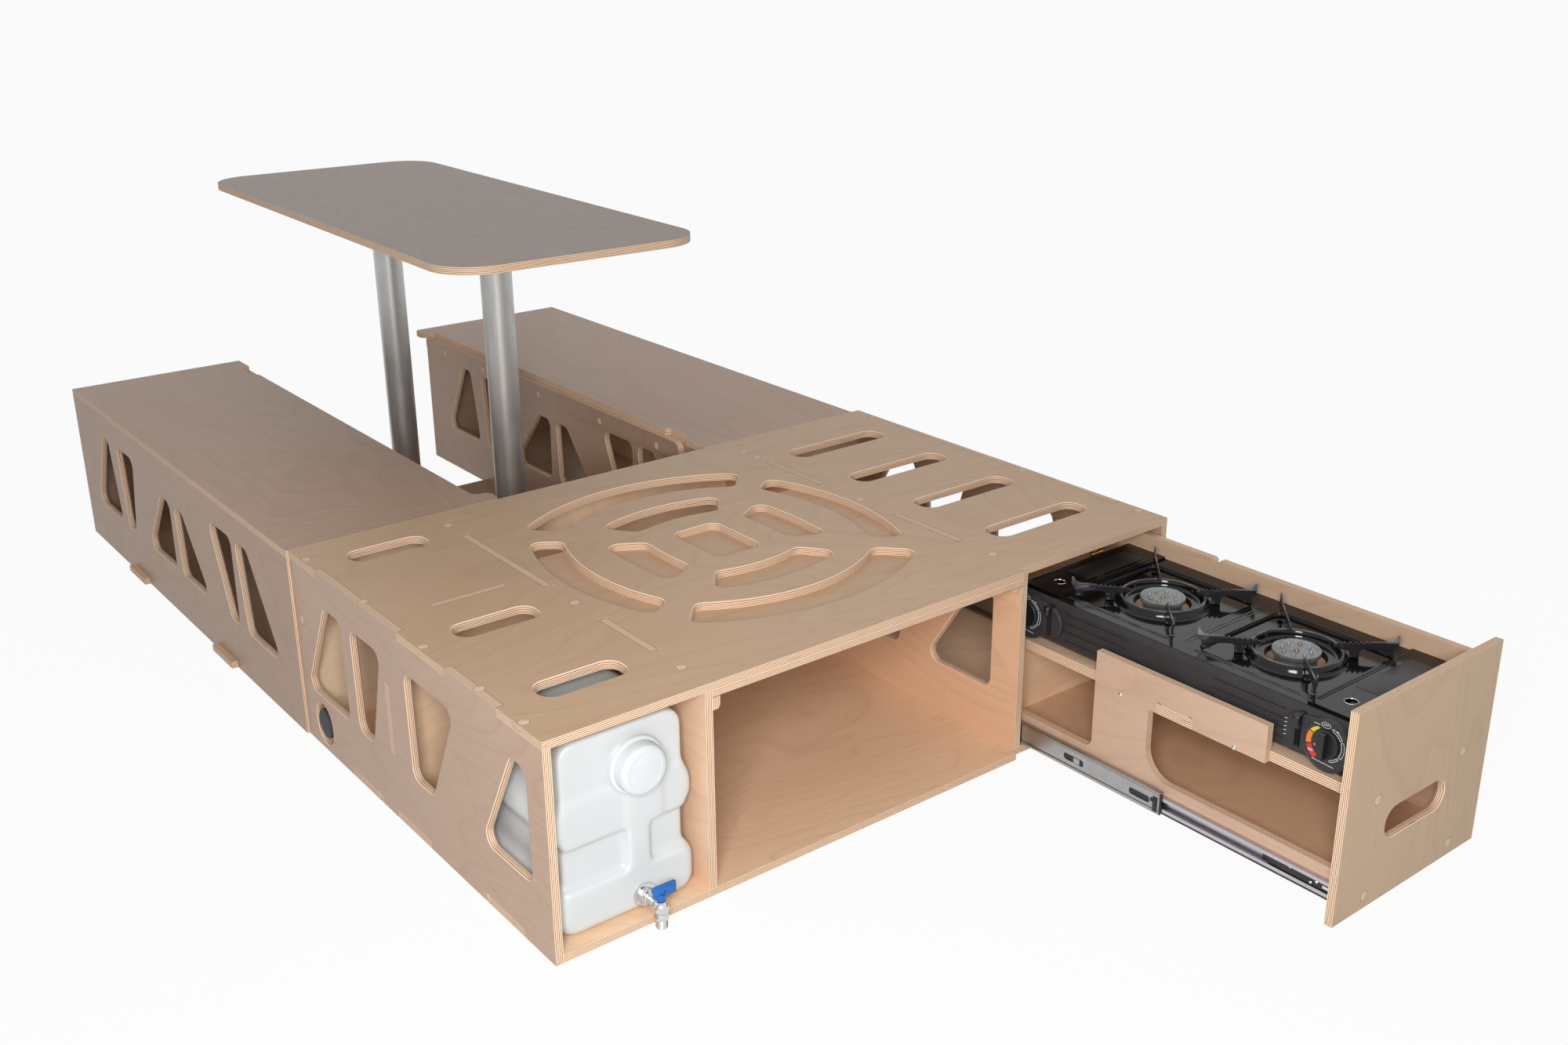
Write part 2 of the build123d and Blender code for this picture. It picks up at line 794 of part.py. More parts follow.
def drawer_left_side():
    """Left side: a low rail, a raised post and an arm over an open window."""
    rear = drawer_end
    riser = rear - ply * 2
    post_rear = drawer_front_back + drawer_length * post_rear_share
    post_front = drawer_front_back + drawer_length * post_front_share
    arm_front = drawer_front_back + drawer_length * arm_front_share
    points = [
        (drawer_front_back, drawer_side_lift), (rear, drawer_side_lift), (rear, shelf_under),
        (riser, shelf_under), (riser, drawer_rail_top), (post_rear, drawer_rail_top),
        (post_rear, drawer_left_top), (arm_front, drawer_left_top), (arm_front, shelf_under),
        (post_front, shelf_under), (post_front, drawer_rail_top), (drawer_front_back, drawer_rail_top),
    ]
    shape = Polygon(*points, align=None)
    corners = [v for v in shape.vertices() if abs(v.Y - drawer_rail_top) < running_gap]
    window = [v for v in corners if abs(v.X - post_front) < running_gap]
    gap = [v for v in corners if v.X > post_front + running_gap]
    shape = fillet(window, drawer_window_radius)
    gap = [v for v in shape.vertices() if any(abs(v.X - g.X) + abs(v.Y - g.Y) < running_gap for g in gap)]
    shape = fillet(gap, drawer_rail_radius)
    panel = along_x(shape, drawer_left, ply)
    y0, y1 = share_span(drawer_front_back, drawer_length, shelf_tab_shares)
    cuts = [block(drawer_left, drawer_inner_left, y0, y1, shelf_under, shelf_height)]
    for y in (y0 + shelf_relief_radius, y1 - shelf_relief_radius):
        relief = Pos(y, shelf_height) * Circle(shelf_relief_radius)
        cuts.append(along_x(relief, drawer_left, ply))
    return panel - cuts


def drawer_right_side():
    """Right side: a tall splash wall with a rounded notch in its top edge."""
    panel = block(drawer_inner_right, drawer_right, drawer_front_back, drawer_end,
                  drawer_side_lift, drawer_right_top)
    notch_y = drawer_front_back + drawer_length * notch_share
    bottom = drawer_right_top - notch_depth
    points = [
        (notch_y - notch_width - over, drawer_right_top + over),
        (notch_y - notch_width + notch_depth, bottom),
        (notch_y, bottom), (notch_y, drawer_right_top + over),
    ]
    panel -= along_x(Polygon(*points, align=None), drawer_inner_right, ply)
    lip = []
    for edge in panel.edges().filter_by(Axis.X):
        middle = edge.center()
        if abs(middle.Y - notch_y) < running_gap and abs(middle.Z - drawer_right_top) < running_gap:
            lip.append(edge)
    return fillet(lip, notch_depth / 2)


def drawer_back():
    """Back panel under the shelf."""
    return block(drawer_inner_left, drawer_inner_right, drawer_end - ply, drawer_end,
                 drawer_floor_lift + ply, shelf_under)


def drawer_floor():
    """Floor of the drawer."""
    return block(drawer_inner_left, drawer_inner_right, drawer_front_back, drawer_end,
                 drawer_floor_lift, drawer_floor_lift + ply)


def drawer_shelf():
    """Shelf that the stove stands on, with a tab in the left side and openings for warm air."""
    plate = block(drawer_inner_left, drawer_inner_right, drawer_front_back, drawer_end,
                  shelf_under, shelf_height)
    y0, y1 = share_span(drawer_front_back, drawer_length, shelf_tab_shares)
    plate += block(drawer_left, drawer_inner_left, y0, y1, shelf_under, shelf_height)
    middle = (drawer_inner_left + drawer_inner_right) / 2
    for share in shelf_hole_shares:
        y = drawer_front_back + drawer_length * share
        plate -= along_z(Pos(middle, y) * Circle(shelf_hole_radius), shelf_under, shelf_thickness)
    return plate


# Bolt
bolt_place = (box_width - bolt_inset, bolt_setback)
bolt_z = plate_under - bolt_block_height / 2 - bolt_radius


def drawer_bolt_case():
    """Brass case of the drawer bolt, under the kitchen top."""
    x, y = bolt_place
    half = bolt_block / 2
    case = block(x - half, x + half, y - half, y + half, plate_under - bolt_block_height, plate_under)
    bore = Pos(x, y, bolt_z) * Rotation(0, 90, 0) * Cylinder(bolt_radius + bolt_fit, bolt_length)
    return case - bore


def drawer_bolt_pin():
    """Sliding pin of the drawer bolt."""
    x, y = bolt_place
    pin = Cylinder(bolt_radius, bolt_length, align=(Align.CENTER, Align.CENTER, Align.MIN))
    return Pos(x + bolt_block / 2, y, bolt_z) * Rotation(0, -90, 0) * pin


# Stove places
stove_bottom = shelf_height + stove_foot
stove_front = drawer_front_back + (drawer_length - stove_length) / 2
stove_rear = stove_front + stove_length
stove_middle = (stove_front + stove_rear) / 2
stove_right = drawer_inner_right - running_gap
stove_left = stove_right - stove_width
stove_deck = stove_bottom + stove_height
pan_floor = stove_deck - pan_recess
burner_x = (stove_left + stove_right) / 2
burner_places = (
    (burner_x, stove_middle - burner_spacing / 2),
    (burner_x, stove_middle + burner_spacing / 2),
)
knob_places = (stove_front + knob_inset, stove_rear - knob_inset)
lever_places = (stove_front + lever_inset, stove_rear - lever_inset)
bay_places = (stove_front, stove_rear - bay_length)
control_z = (stove_bottom + stove_deck) / 2 + pod_edge
control_face = stove_left - pod_reach
lever_top = control_z + lever_slot / 2 - running_gap


def stove_profile():
    """Cross-section of the stove body in X and Z with a leaning control face."""
    points = [
        (stove_left + stove_slope, stove_bottom), (stove_left, stove_bottom + stove_slope),
        (stove_left, stove_deck - stove_slope), (stove_left + stove_slope / 2, stove_deck),
        (stove_right, stove_deck), (stove_right, stove_bottom),
    ]
    return Polygon(*points, align=None)


def control_pod(knob_y, lever_y):
    """Moulded bulge that carries a knob and an ignition lever."""
    big = Pos(knob_y, control_z) * Circle(pod_radius)
    small = Pos(lever_y, control_z) * Circle(pod_small_radius)
    outline = make_hull((big + small).edges())
    pod = along_x(outline, control_face, pod_reach + stove_slope)
    return fillet(pod.faces().sort_by(Axis.X)[0].edges(), pod_edge)


def stove_housing():
    """Pressed housing with grooves, control pods, pan recesses and cartridge bays."""
    body = along_y(stove_profile(), stove_front, stove_length)
    for knob_y, lever_y in zip(knob_places, lever_places):
        body += control_pod(knob_y, lever_y)
    cuts = []
    for y0 in bay_places:
        cuts.append(block(stove_left + bay_setback, stove_right - bay_wall, y0 + bay_wall,
                          y0 + bay_length - bay_wall, stove_bottom + bay_wall, stove_deck + over))
    for place in burner_places:
        size = pan_size + pan_gap * 2
        pan = RectangleRounded(size, size, pan_corner)
        cuts.append(along_z(Pos(*place) * pan, pan_floor, pan_recess + over))
        cuts.append(along_z(Pos(*place) * Circle(well_radius), stove_deck - burner_height, burner_height))
    for y in knob_places:
        bore = Cylinder(stove_knob_pin + bolt_fit, stove_knob_depth * 2)
        cuts.append(Pos(control_face, y, control_z) * Rotation(0, 90, 0) * bore)
    for y in lever_places:
        half = lever_width / 2 + running_gap
        low = control_z - lever_slot / 2
        cuts.append(block(control_face - over, stove_left + lever_depth + running_gap,
                          y - half, y + half, low, low + lever_slot))
    hollow_low, hollow_high = stove_front + bay_length, stove_rear - bay_length
    hollow = block(stove_left + stove_slope, stove_right - stove_wall, hollow_low, hollow_high,
                   stove_bottom - over, pan_floor - stove_wall)
    for place in burner_places:
        well_low = stove_deck - burner_height - stove_wall
        hollow -= along_z(Pos(*place) * Circle(well_radius + stove_wall), well_low, burner_height)
    cuts.append(hollow)
    pitch = (stove_height - stove_slope * 2) / groove_count
    for y0 in (lever_places[0] + pod_small_radius + over, lever_places[1] - pod_small_radius - over - groove_length):
        for index in range(groove_count):
            z = stove_bottom + stove_slope + pitch * (index + 0.5)
            cuts.append(block(stove_left - over, stove_left + groove_depth, y0, y0 + groove_length,
                              z, z + groove_width))
    return body - cuts


def stove_feet():
    """Four rubber feet under the stove."""
    feet = []
    inset = stove_foot_radius * 2
    for x in (stove_left + inset, stove_right - inset):
        for y in (stove_front + inset, stove_rear - inset):
            feet.append(along_z(Pos(x, y) * Circle(stove_foot_radius), shelf_height, stove_foot))
    return Compound(feet)


def drip_pan(place):
    """Enamelled pan with a rim and a raised ring round the burner."""
    plate = along_z(RectangleRounded(pan_size, pan_size, pan_corner), pan_floor, pan_sheet)
    inner = pan_size - pan_sheet * 2
    rim = RectangleRounded(pan_size, pan_size, pan_corner)
    rim -= RectangleRounded(inner, inner, pan_corner - pan_sheet)
    wall = along_z(rim, pan_floor, pan_recess + pan_sheet)
    half = pan_ring_width / 2
    profile = Polygon(
        (pan_ring_radius - half, pan_floor), (pan_ring_radius + half, pan_floor),
        (pan_ring_radius + half / 3, pan_floor + pan_recess),
        (pan_ring_radius - half / 3, pan_floor + pan_recess), align=None)
    ring = revolve(Plane.XZ * profile, Axis.Z)
    hole = along_z(Circle(burner_radius + over), pan_floor, pan_recess)
    return Pos(*place) * (plate + wall + ring - hole)


def burner_head(place):
    """Aluminium burner head: stepped body, dished crown and a circle of pins."""
    low = stove_deck - burner_height
    top = stove_deck + burner_rim
    neck = burner_radius - burner_rim
    profile = Polygon(
        (0, low), (neck, low), (neck, pan_floor + pan_sheet), (burner_radius, stove_deck - pan_sheet),
        (burner_radius, top), (neck, top), (neck - burner_rim / 2, top - burner_rim / 2),
        (0, top - burner_rim / 2), align=None)
    head = revolve(Plane.XZ * profile, Axis.Z)
    for index in range(burner_pins):
        angle = radians(360 * index / burner_pins)
        reach = burner_radius * (0.35 + 0.2 * (index % 2))
        at = Pos(reach * cos(angle), reach * sin(angle))
        head += along_z(at * Circle(burner_pin_radius), top - burner_rim / 2, burner_rim)
    return Pos(*place) * head


def support_arm():
    """One upright pan-support arm on two feet, with a toothed top edge that rises to its tip."""
    low = pan_floor + pan_sheet
    under = low + support_lift
    arch = low + support_arch
    tip_start = support_reach - support_tip
    inner_foot = support_ring_radius - support_wire
    outer_foot = tip_start - support_foot
    points = [
        (support_inner, under + support_lift / 2), (inner_foot - support_wire, under),
        (inner_foot, low), (inner_foot + support_foot * 2, low),
        (inner_foot + support_foot, low + pan_sheet), (inner_foot + support_foot, arch - pan_sheet),
        (inner_foot + support_foot + pan_sheet, arch), (outer_foot - pan_sheet, arch),
        (outer_foot, arch - pan_sheet), (outer_foot, low), (tip_start, low), (tip_start, under),
        (support_reach, arch), (support_reach, low + support_rise),
        (tip_start + support_tip / 2, low + support_rise - tooth_depth),
    ]
    pitch = (tip_start - support_inner) / support_teeth
    crest = low + support_rise * 2 / 3
    fall = support_lift / support_teeth
    for index in range(support_teeth):
        start = tip_start - pitch * index
        height = crest - fall * index
        points.append((start, height))
        points.append((start - pitch / 2, height - tooth_depth))
    points.append((support_inner, crest - support_lift))
    return along_y(Polygon(*points, align=None), -support_sheet / 2, support_sheet)


def pan_support(place):
    """Ring with four toothed arms that carries a pot."""
    ring = Circle(support_ring_radius) - Circle(support_ring_radius - support_wire)
    frame = along_z(ring, pan_floor + pan_sheet, support_wire)
    arm = support_arm()
    angles = [360 * (index + 0.5) / support_arms for index in range(support_arms)]
    frame = frame.fuse(*[Rotation(0, 0, angle) * arm for angle in angles])
    return Pos(*place) * frame


def stove_knob(y):
    """Gas knob with a raised grip, turned about X."""
    base = (Align.CENTER, Align.CENTER, Align.MIN)
    skirt = Cylinder(stove_knob_radius, stove_knob_skirt, align=base)
    grip = Box(stove_knob_radius * 2, stove_knob_grip, stove_knob_depth, align=base)
    grip &= Cylinder(stove_knob_radius, stove_knob_depth, align=base)
    grip = fillet(grip.edges().filter_by(Axis.X), stove_knob_grip / 4)
    pin = Cylinder(stove_knob_pin, stove_knob_depth, align=(Align.CENTER, Align.CENTER, Align.MAX))
    at = Pos(control_face - running_gap, y, control_z) * Rotation(0, -90, 0)
    return at * (skirt + grip + pin)


def ignition_lever(y):
    """Press-down ignition lever at the top of its slot."""
    half = lever_width / 2
    stem = block(control_face - lever_proud, stove_left + lever_depth, y - half, y + half,
                 lever_top - lever_height, lever_top)
    return fillet(stem.edges().filter_by(Axis.Y), pod_edge)


def cartridge_lid(y0):
    """Cover over a cartridge bay with a round window."""
    low = stove_deck + running_gap
    inset = bay_wall / 2
    x0 = stove_left + stove_slope
    lid = block(x0, stove_right, y0 + inset, y0 + bay_length - inset, low, low + lid_sheet)
    hole_x = stove_left + bay_setback + lid_hole_radius * 3
    hole = along_z(Pos(hole_x, y0 + bay_length / 2) * Circle(lid_hole_radius), low, lid_sheet)
    return lid - hole


def gas_cartridges():
    """Two lying gas cartridges in their bays."""
    cans = []
    floor = stove_bottom + bay_wall
    for y0 in bay_places:
        at = Pos(stove_right - bay_wall, y0 + bay_length / 2, floor + cartridge_radius)
        can = Cylinder(cartridge_radius, cartridge_length, align=(Align.CENTER, Align.CENTER, Align.MIN))
        neck = Cylinder(cartridge_neck_radius, cartridge_length + cartridge_neck,
                        align=(Align.CENTER, Align.CENTER, Align.MIN))
        cans.append(at * Rotation(0, -90, 0) * (can + neck))
    return Compound(cans)


# Canister
canister_left = ply + (canister_bay_width - canister_width) / 2
canister_right = canister_left + canister_width
canister_front = canister_inset
canister_floor = ply + running_gap
cap_x = canister_left + canister_width * cap_place_share
cap_z = canister_floor + canister_height * cap_height_share
tap_x = canister_left + canister_width * tap_place_share
tap_z = canister_floor + tap_height
tap_axis_y = canister_front - tap_reach


def canister_outline(inward):
    """Outline of the canister in X and Z, drawn in by a wall, with bulges on both sides."""
    middle_x = (canister_left + canister_right) / 2
    waist = canister_width / 2 - canister_wave
    side = []
    for level, swell in canister_side_shares:
        side.append((waist + canister_wave * swell, canister_floor + canister_height * level))
    points = [(middle_x + x, z) for x, z in side]
    points.extend((middle_x - x, z) for x, z in reversed(side))
    shape = Polygon(*points, align=None)
    ends = (canister_floor, canister_floor + canister_height)
    corners = [v for v in shape.vertices() if min(abs(v.Y - end) for end in ends) < running_gap]
    shape = fillet(corners, canister_radius)
    bends = []
    for vertex in shape.vertices():
        if any(abs(vertex.X - middle_x - x) + abs(vertex.Y - z) < running_gap for x, z in side[1:-1]):
            bends.append(vertex)
        if any(abs(middle_x - vertex.X - x) + abs(vertex.Y - z) < running_gap for x, z in side[1:-1]):
            bends.append(vertex)
    shape = fillet(bends, canister_soft)
    return offset(shape, -inward) if inward else shape


def canister_reliefs(inward):
    """Cutters for the sunk parts of the canister's front, grown by a wall."""
    cutters = []
    for left, right, bottom, top, depth in canister_relief_shares:
        x0, x1 = share_span(canister_left, canister_width, (left, right))
        z0, z1 = share_span(canister_floor, canister_height, (bottom, top))
        y1 = canister_front + canister_relief * depth + inward
        cutters.append(block(x0 - inward, x1 + inward, canister_front - over, y1, z0 - inward, z1 + inward))
    return cutters


def canister_body():
    """Hollow blow-moulded water canister with a relief front and a neck for the cap."""
    body = along_y(canister_outline(0), canister_front, canister_depth)
    body = chamfer(body.faces().filter_by(Axis.Y).edges(), canister_edge)
    body -= canister_reliefs(0)
    neck = Pos(cap_x, cap_z) * Circle(neck_radius)
    body += along_y(neck, canister_front - neck_length, neck_length + canister_relief)
    hollow_depth = canister_depth - canister_wall * 2
    hollow = along_y(canister_outline(canister_wall), canister_front + canister_wall, hollow_depth)
    hollow = chamfer(hollow.faces().filter_by(Axis.Y).edges(), canister_edge)
    hollow -= canister_reliefs(canister_wall)
    mouth = Pos(cap_x, cap_z) * Circle(neck_radius - canister_wall)
    hollow += along_y(mouth, canister_front - neck_length, neck_length + canister_relief)
    return body - hollow


def canister_cap():
    """Wide screw cap that covers the neck, turned about Y."""
    at = Pos(cap_x, canister_front - running_gap, cap_z) * Rotation(90, 0, 0)
    cap = Cylinder(cap_radius, cap_depth, align=(Align.CENTER, Align.CENTER, Align.MIN))
    cap = fillet(cap.edges().filter_by(GeomType.CIRCLE).sort_by(Axis.Z)[-1], cap_depth / 5)
    collar = Cylinder(cap_collar_radius, cap_collar, align=(Align.CENTER, Align.CENTER, Align.MIN))
    bore = Cylinder(neck_radius + running_gap, neck_length, align=(Align.CENTER, Align.CENTER, Align.MIN))
    return at * (cap + collar - bore)


def tap_body():
    """Chromed tap: hex flange, body, valve and threaded spout."""
    at = Pos(tap_x, canister_front, tap_z) * Rotation(90, 0, 0)
    flange = extrude(RegularPolygon(tap_hex / 2, 6), tap_flange)
    barrel = Cylinder(tap_body_radius, tap_reach, align=(Align.CENTER, Align.CENTER, Align.MIN))
    fitting = at * (flange + barrel)
    valve = Pos(tap_x, tap_axis_y, tap_z) * Sphere(tap_spout_radius)
    spout = Cylinder(tap_spout_radius - over, tap_spout_length, align=(Align.CENTER, Align.CENTER, Align.MAX))
    spout = Pos(tap_x, tap_axis_y, tap_z) * spout
    return fitting + valve + spout


def tap_lever():
    """Blue wing lever on the valve stem, turned about Z."""
    low = tap_z + tap_spout_radius + running_gap
    stem = Cylinder(tap_stem_radius * 2, tap_stem_height, align=(Align.CENTER, Align.CENTER, Align.MIN))
    stem = Pos(tap_x, tap_axis_y, low) * stem
    wing = Box(tap_lever_length, tap_lever_thickness, tap_lever_width,
               align=(Align.MIN, Align.CENTER, Align.MIN))
    wing = Pos(tap_x - tap_stem_radius * 2, tap_axis_y, low + tap_stem_height / 2) * wing
    return stem + wing


def build_nodes():
    """Every separate piece under its own name."""
    nodes = {
        "kitchen_floor": kitchen_floor(),
        "kitchen_top": kitchen_top(),
        "kitchen_left_side": kitchen_left_side(),
        "kitchen_right_side": kitchen_right_side(),
        "left_divider": left_divider(),
        "right_divider": right_divider(),
        "kitchen_back": kitchen_back(),
        "canister_bay_back": canister_bay_back(),
        "stowed_board": stowed_board(),
        "board_runners": board_runners(),
        "tie_down_knob": tie_down_knob(),
        "tie_down_block": tie_down_block(),
    }
    for side in ("left", "right"):
        nodes[f"seat_{side}_outer_side"] = seat_outer_side(side)
        nodes[f"seat_{side}_inner_side"] = seat_inner_side(side)
        nodes[f"seat_{side}_ends"] = seat_ends(side)
        nodes[f"seat_{side}_floor"] = seat_floor(side)
        nodes[f"seat_{side}_lid"] = seat_lid(side)
        nodes[f"seat_{side}_lid_cleats"] = seat_lid_cleats(side)
        nodes[f"seat_{side}_ledge"] = seat_ledge(side)
        nodes[f"slide_middle_{side}"] = slide_member(1, side)
    nodes["slide_outers"] = Compound([slide_member(0, "left"), slide_member(0, "right")])
    nodes["slide_inners"] = Compound([slide_member(2, "left"), slide_member(2, "right")])
    nodes["table_top"] = table_top()
    nodes["table_poles"] = Compound([pole(place) for place in pole_places])
    nodes["table_top_sockets"] = table_top_sockets()
    nodes["table_base_sockets"] = table_base_sockets()
    nodes["table_base_plate"] = table_base_plate()
    nodes["drawer_front"] = drawer_front()
    nodes["drawer_left_side"] = drawer_left_side()
    nodes["drawer_right_side"] = drawer_right_side()
    nodes["drawer_back"] = drawer_back()
    nodes["drawer_floor"] = drawer_floor()
    nodes["drawer_shelf"] = drawer_shelf()
    nodes["drawer_bolt_case"] = drawer_bolt_case()
    nodes["drawer_bolt_pin"] = drawer_bolt_pin()
    nodes["stove_housing"] = stove_housing()
    nodes["stove_feet"] = stove_feet()
    for index, word in enumerate(("front", "rear")):
        nodes[f"pan_support_{word}"] = pan_support(burner_places[index])
        nodes[f"stove_knob_{word}"] = stove_knob(knob_places[index])
        nodes[f"ignition_lever_{word}"] = ignition_lever(lever_places[index])
        nodes[f"cartridge_lid_{word}"] = cartridge_lid(bay_places[index])
    nodes["drip_pans"] = Compound([drip_pan(place) for place in burner_places])
    nodes["burner_heads"] = Compound([burner_head(place) for place in burner_places])
    nodes["gas_cartridges"] = gas_cartridges()
    nodes["canister_body"] = canister_body()
    nodes["canister_cap"] = canister_cap()
    nodes["tap_body"] = tap_body()
    nodes["tap_lever"] = tap_lever()
    return nodes


# The frame's origin is on the ground, under the middle of the whole box
origin_x = (left_seat_outer - seat_tab_reach + box_width) / 2
origin_y = (drawer_front_face + seat_back) / 2

os.makedirs("parts", exist_ok=True)
for name, shape in build_nodes().items():
    export_step(Pos(-origin_x, -origin_y, 0) * shape, f"parts/{name}.step")
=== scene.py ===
from math import atan2, cos, degrees, radians, sin, tau

import bmesh
import bpy
from mathutils import Matrix, Vector


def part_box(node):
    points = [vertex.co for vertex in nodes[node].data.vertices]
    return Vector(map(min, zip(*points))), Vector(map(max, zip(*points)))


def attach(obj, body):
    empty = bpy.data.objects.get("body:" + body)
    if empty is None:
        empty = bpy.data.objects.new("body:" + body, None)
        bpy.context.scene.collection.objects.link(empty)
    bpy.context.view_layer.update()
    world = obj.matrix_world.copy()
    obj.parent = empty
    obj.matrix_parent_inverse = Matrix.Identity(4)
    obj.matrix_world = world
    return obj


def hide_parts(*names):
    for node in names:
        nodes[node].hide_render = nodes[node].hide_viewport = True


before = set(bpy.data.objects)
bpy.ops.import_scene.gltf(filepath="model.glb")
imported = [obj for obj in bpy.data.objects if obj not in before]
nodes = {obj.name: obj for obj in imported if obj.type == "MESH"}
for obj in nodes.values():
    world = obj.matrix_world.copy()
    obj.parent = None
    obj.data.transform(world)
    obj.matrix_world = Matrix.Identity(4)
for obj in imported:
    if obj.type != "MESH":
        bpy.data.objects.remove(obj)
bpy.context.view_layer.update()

# The workshop drawing is in millimetres from the kitchen box's front left corner.
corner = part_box("kitchen_left_side")[0]
mm = 0.001
ply = 12 * mm

# Levels and faces on the drawing
box_top = 324
deck_edge = 269.2
burner_level = 248
knob_level = 234
drawer_faces = {"left": 872.9, "right": 1165.1}
mark_height = 0.25

up = (0, 0, 1)


def here(x, y, z):
    """A place on the drawing as a place in the scene."""
    return Vector((x, y, z)) * mm + corner


def shade(red, green, blue):
    """A colour from 0 to 255 a channel, as the shaders need it."""
    channels = []
    for value in (red, green, blue):
        value = value / 255
        low = value / 12.92
        high = ((value + 0.055) / 1.055) ** 2.4
        channels.append(low if value <= 0.04045 else high)
    return tuple(channels)


def scaled(tone, factor):
    """A lighter or darker form of a colour."""
    return tuple(min(channel * factor, 1.0) for channel in tone)


class Wire:
    """A shader value, for use in plain arithmetic."""

    def __init__(self, wiring, socket):
        self.wiring = wiring
        self.socket = socket

    def math(self, operation, *values):
        settings = {"operation": operation}
        return self.wiring.node("ShaderNodeMath", settings, dict(enumerate(values)))

    def __add__(self, other):
        return self.math("ADD", self, other)

    def __radd__(self, other):
        return self.math("ADD", other, self)

    def __sub__(self, other):
        return self.math("SUBTRACT", self, other)

    def __rsub__(self, other):
        return self.math("SUBTRACT", other, self)

    def __mul__(self, other):
        return self.math("MULTIPLY", self, other)

    def __rmul__(self, other):
        return self.math("MULTIPLY", other, self)

    def __truediv__(self, other):
        return self.math("DIVIDE", self, other)

    def __mod__(self, other):
        return self.math("FLOORED_MODULO", self, other)

    def __gt__(self, other):
        return self.math("GREATER_THAN", self, other)

    def __lt__(self, other):
        return self.math("LESS_THAN", self, other)

    def __abs__(self):
        return self.math("ABSOLUTE", self)


class Wiring:
    """A node tree, with one method that adds any node to it."""

    def __init__(self, tree):
        self.tree = tree

    def join(self, socket, value):
        """Links a wire to a socket, or sets a plain value on it."""
        if isinstance(value, Wire):
            self.tree.links.new(value.socket, socket)
        elif socket.type == "RGBA" and len(value) == 3:
            socket.default_value = (*value, 1)
        else:
            socket.default_value = value

    def node(self, kind, settings=None, sockets=None, output=0):
        """Adds a node: its settings first, then the values or links of its sockets."""
        made = self.tree.nodes.new(kind)
        for name, value in (settings or {}).items():
            setattr(made, name, value)
        for name, value in (sockets or {}).items():
            self.join(made.inputs[name], value)
        return Wire(self, made.outputs[output])

    def seen(self):
        """1 for rays that look straight, through or off gloss, and 0 for rays that light."""
        total = self.node("ShaderNodeLightPath", output="Is Camera Ray")
        total = total + self.node("ShaderNodeLightPath", output="Is Glossy Ray")
        total = total + self.node("ShaderNodeLightPath", output="Is Transmission Ray")
        return total > 0.5


class Finish(Wiring):
    """A material on the piece's own coordinates."""

    def __init__(self, name):
        self.material = bpy.data.materials.new(name)
        self.material.use_nodes = True
        super().__init__(self.material.node_tree)
        self.shader = self.tree.nodes["Principled BSDF"]
        self.place = self.node("ShaderNodeTexCoord", output="Object")

    def axis(self, index):
        """One coordinate of the piece's own place."""
        return self.node("ShaderNodeSeparateXYZ", {}, {0: self.place}, index)

    def stretch(self, scale, shift=(0, 0, 0)):
        """The piece's place, scaled and then shifted along each axis."""
        values = {"Vector": self.place, "Location": shift, "Scale": scale}
        return self.node("ShaderNodeMapping", {}, values)

    def noise(self, scale, detail, rough, at=None, warp=0.0):
        """Soft noise between 0 and 1."""
        values = {"Vector": at or self.place, "Scale": scale, "Detail": detail,
                  "Roughness": rough, "Distortion": warp}
        return self.node("ShaderNodeTexNoise", {}, values)

    def mix(self, share, first, second):
        """A blend of two colours."""
        values = {0: share, 6: first, 7: second}
        return self.node("ShaderNodeMix", {"data_type": "RGBA"}, values, 2)

    def steps(self, value, low, high):
        """A value eased from 0 at low to 1 at high."""
        settings = {"interpolation_type": "SMOOTHSTEP"}
        return self.node("ShaderNodeMapRange", settings, {0: value, 1: low, 2: high})

    def bump(self, height, depth, strength):
        """A bump from a height, as deep as depth in metres."""
        values = {"Height": height, "Distance": depth, "Strength": strength}
        return self.node("ShaderNodeBump", {}, values)

    def surface(self, **values):
        """Sets the shader's sockets and returns the finished material."""
        for name, value in values.items():
            self.join(self.shader.inputs[name.replace("_", " ")], value)
        return self.material


# Finishes

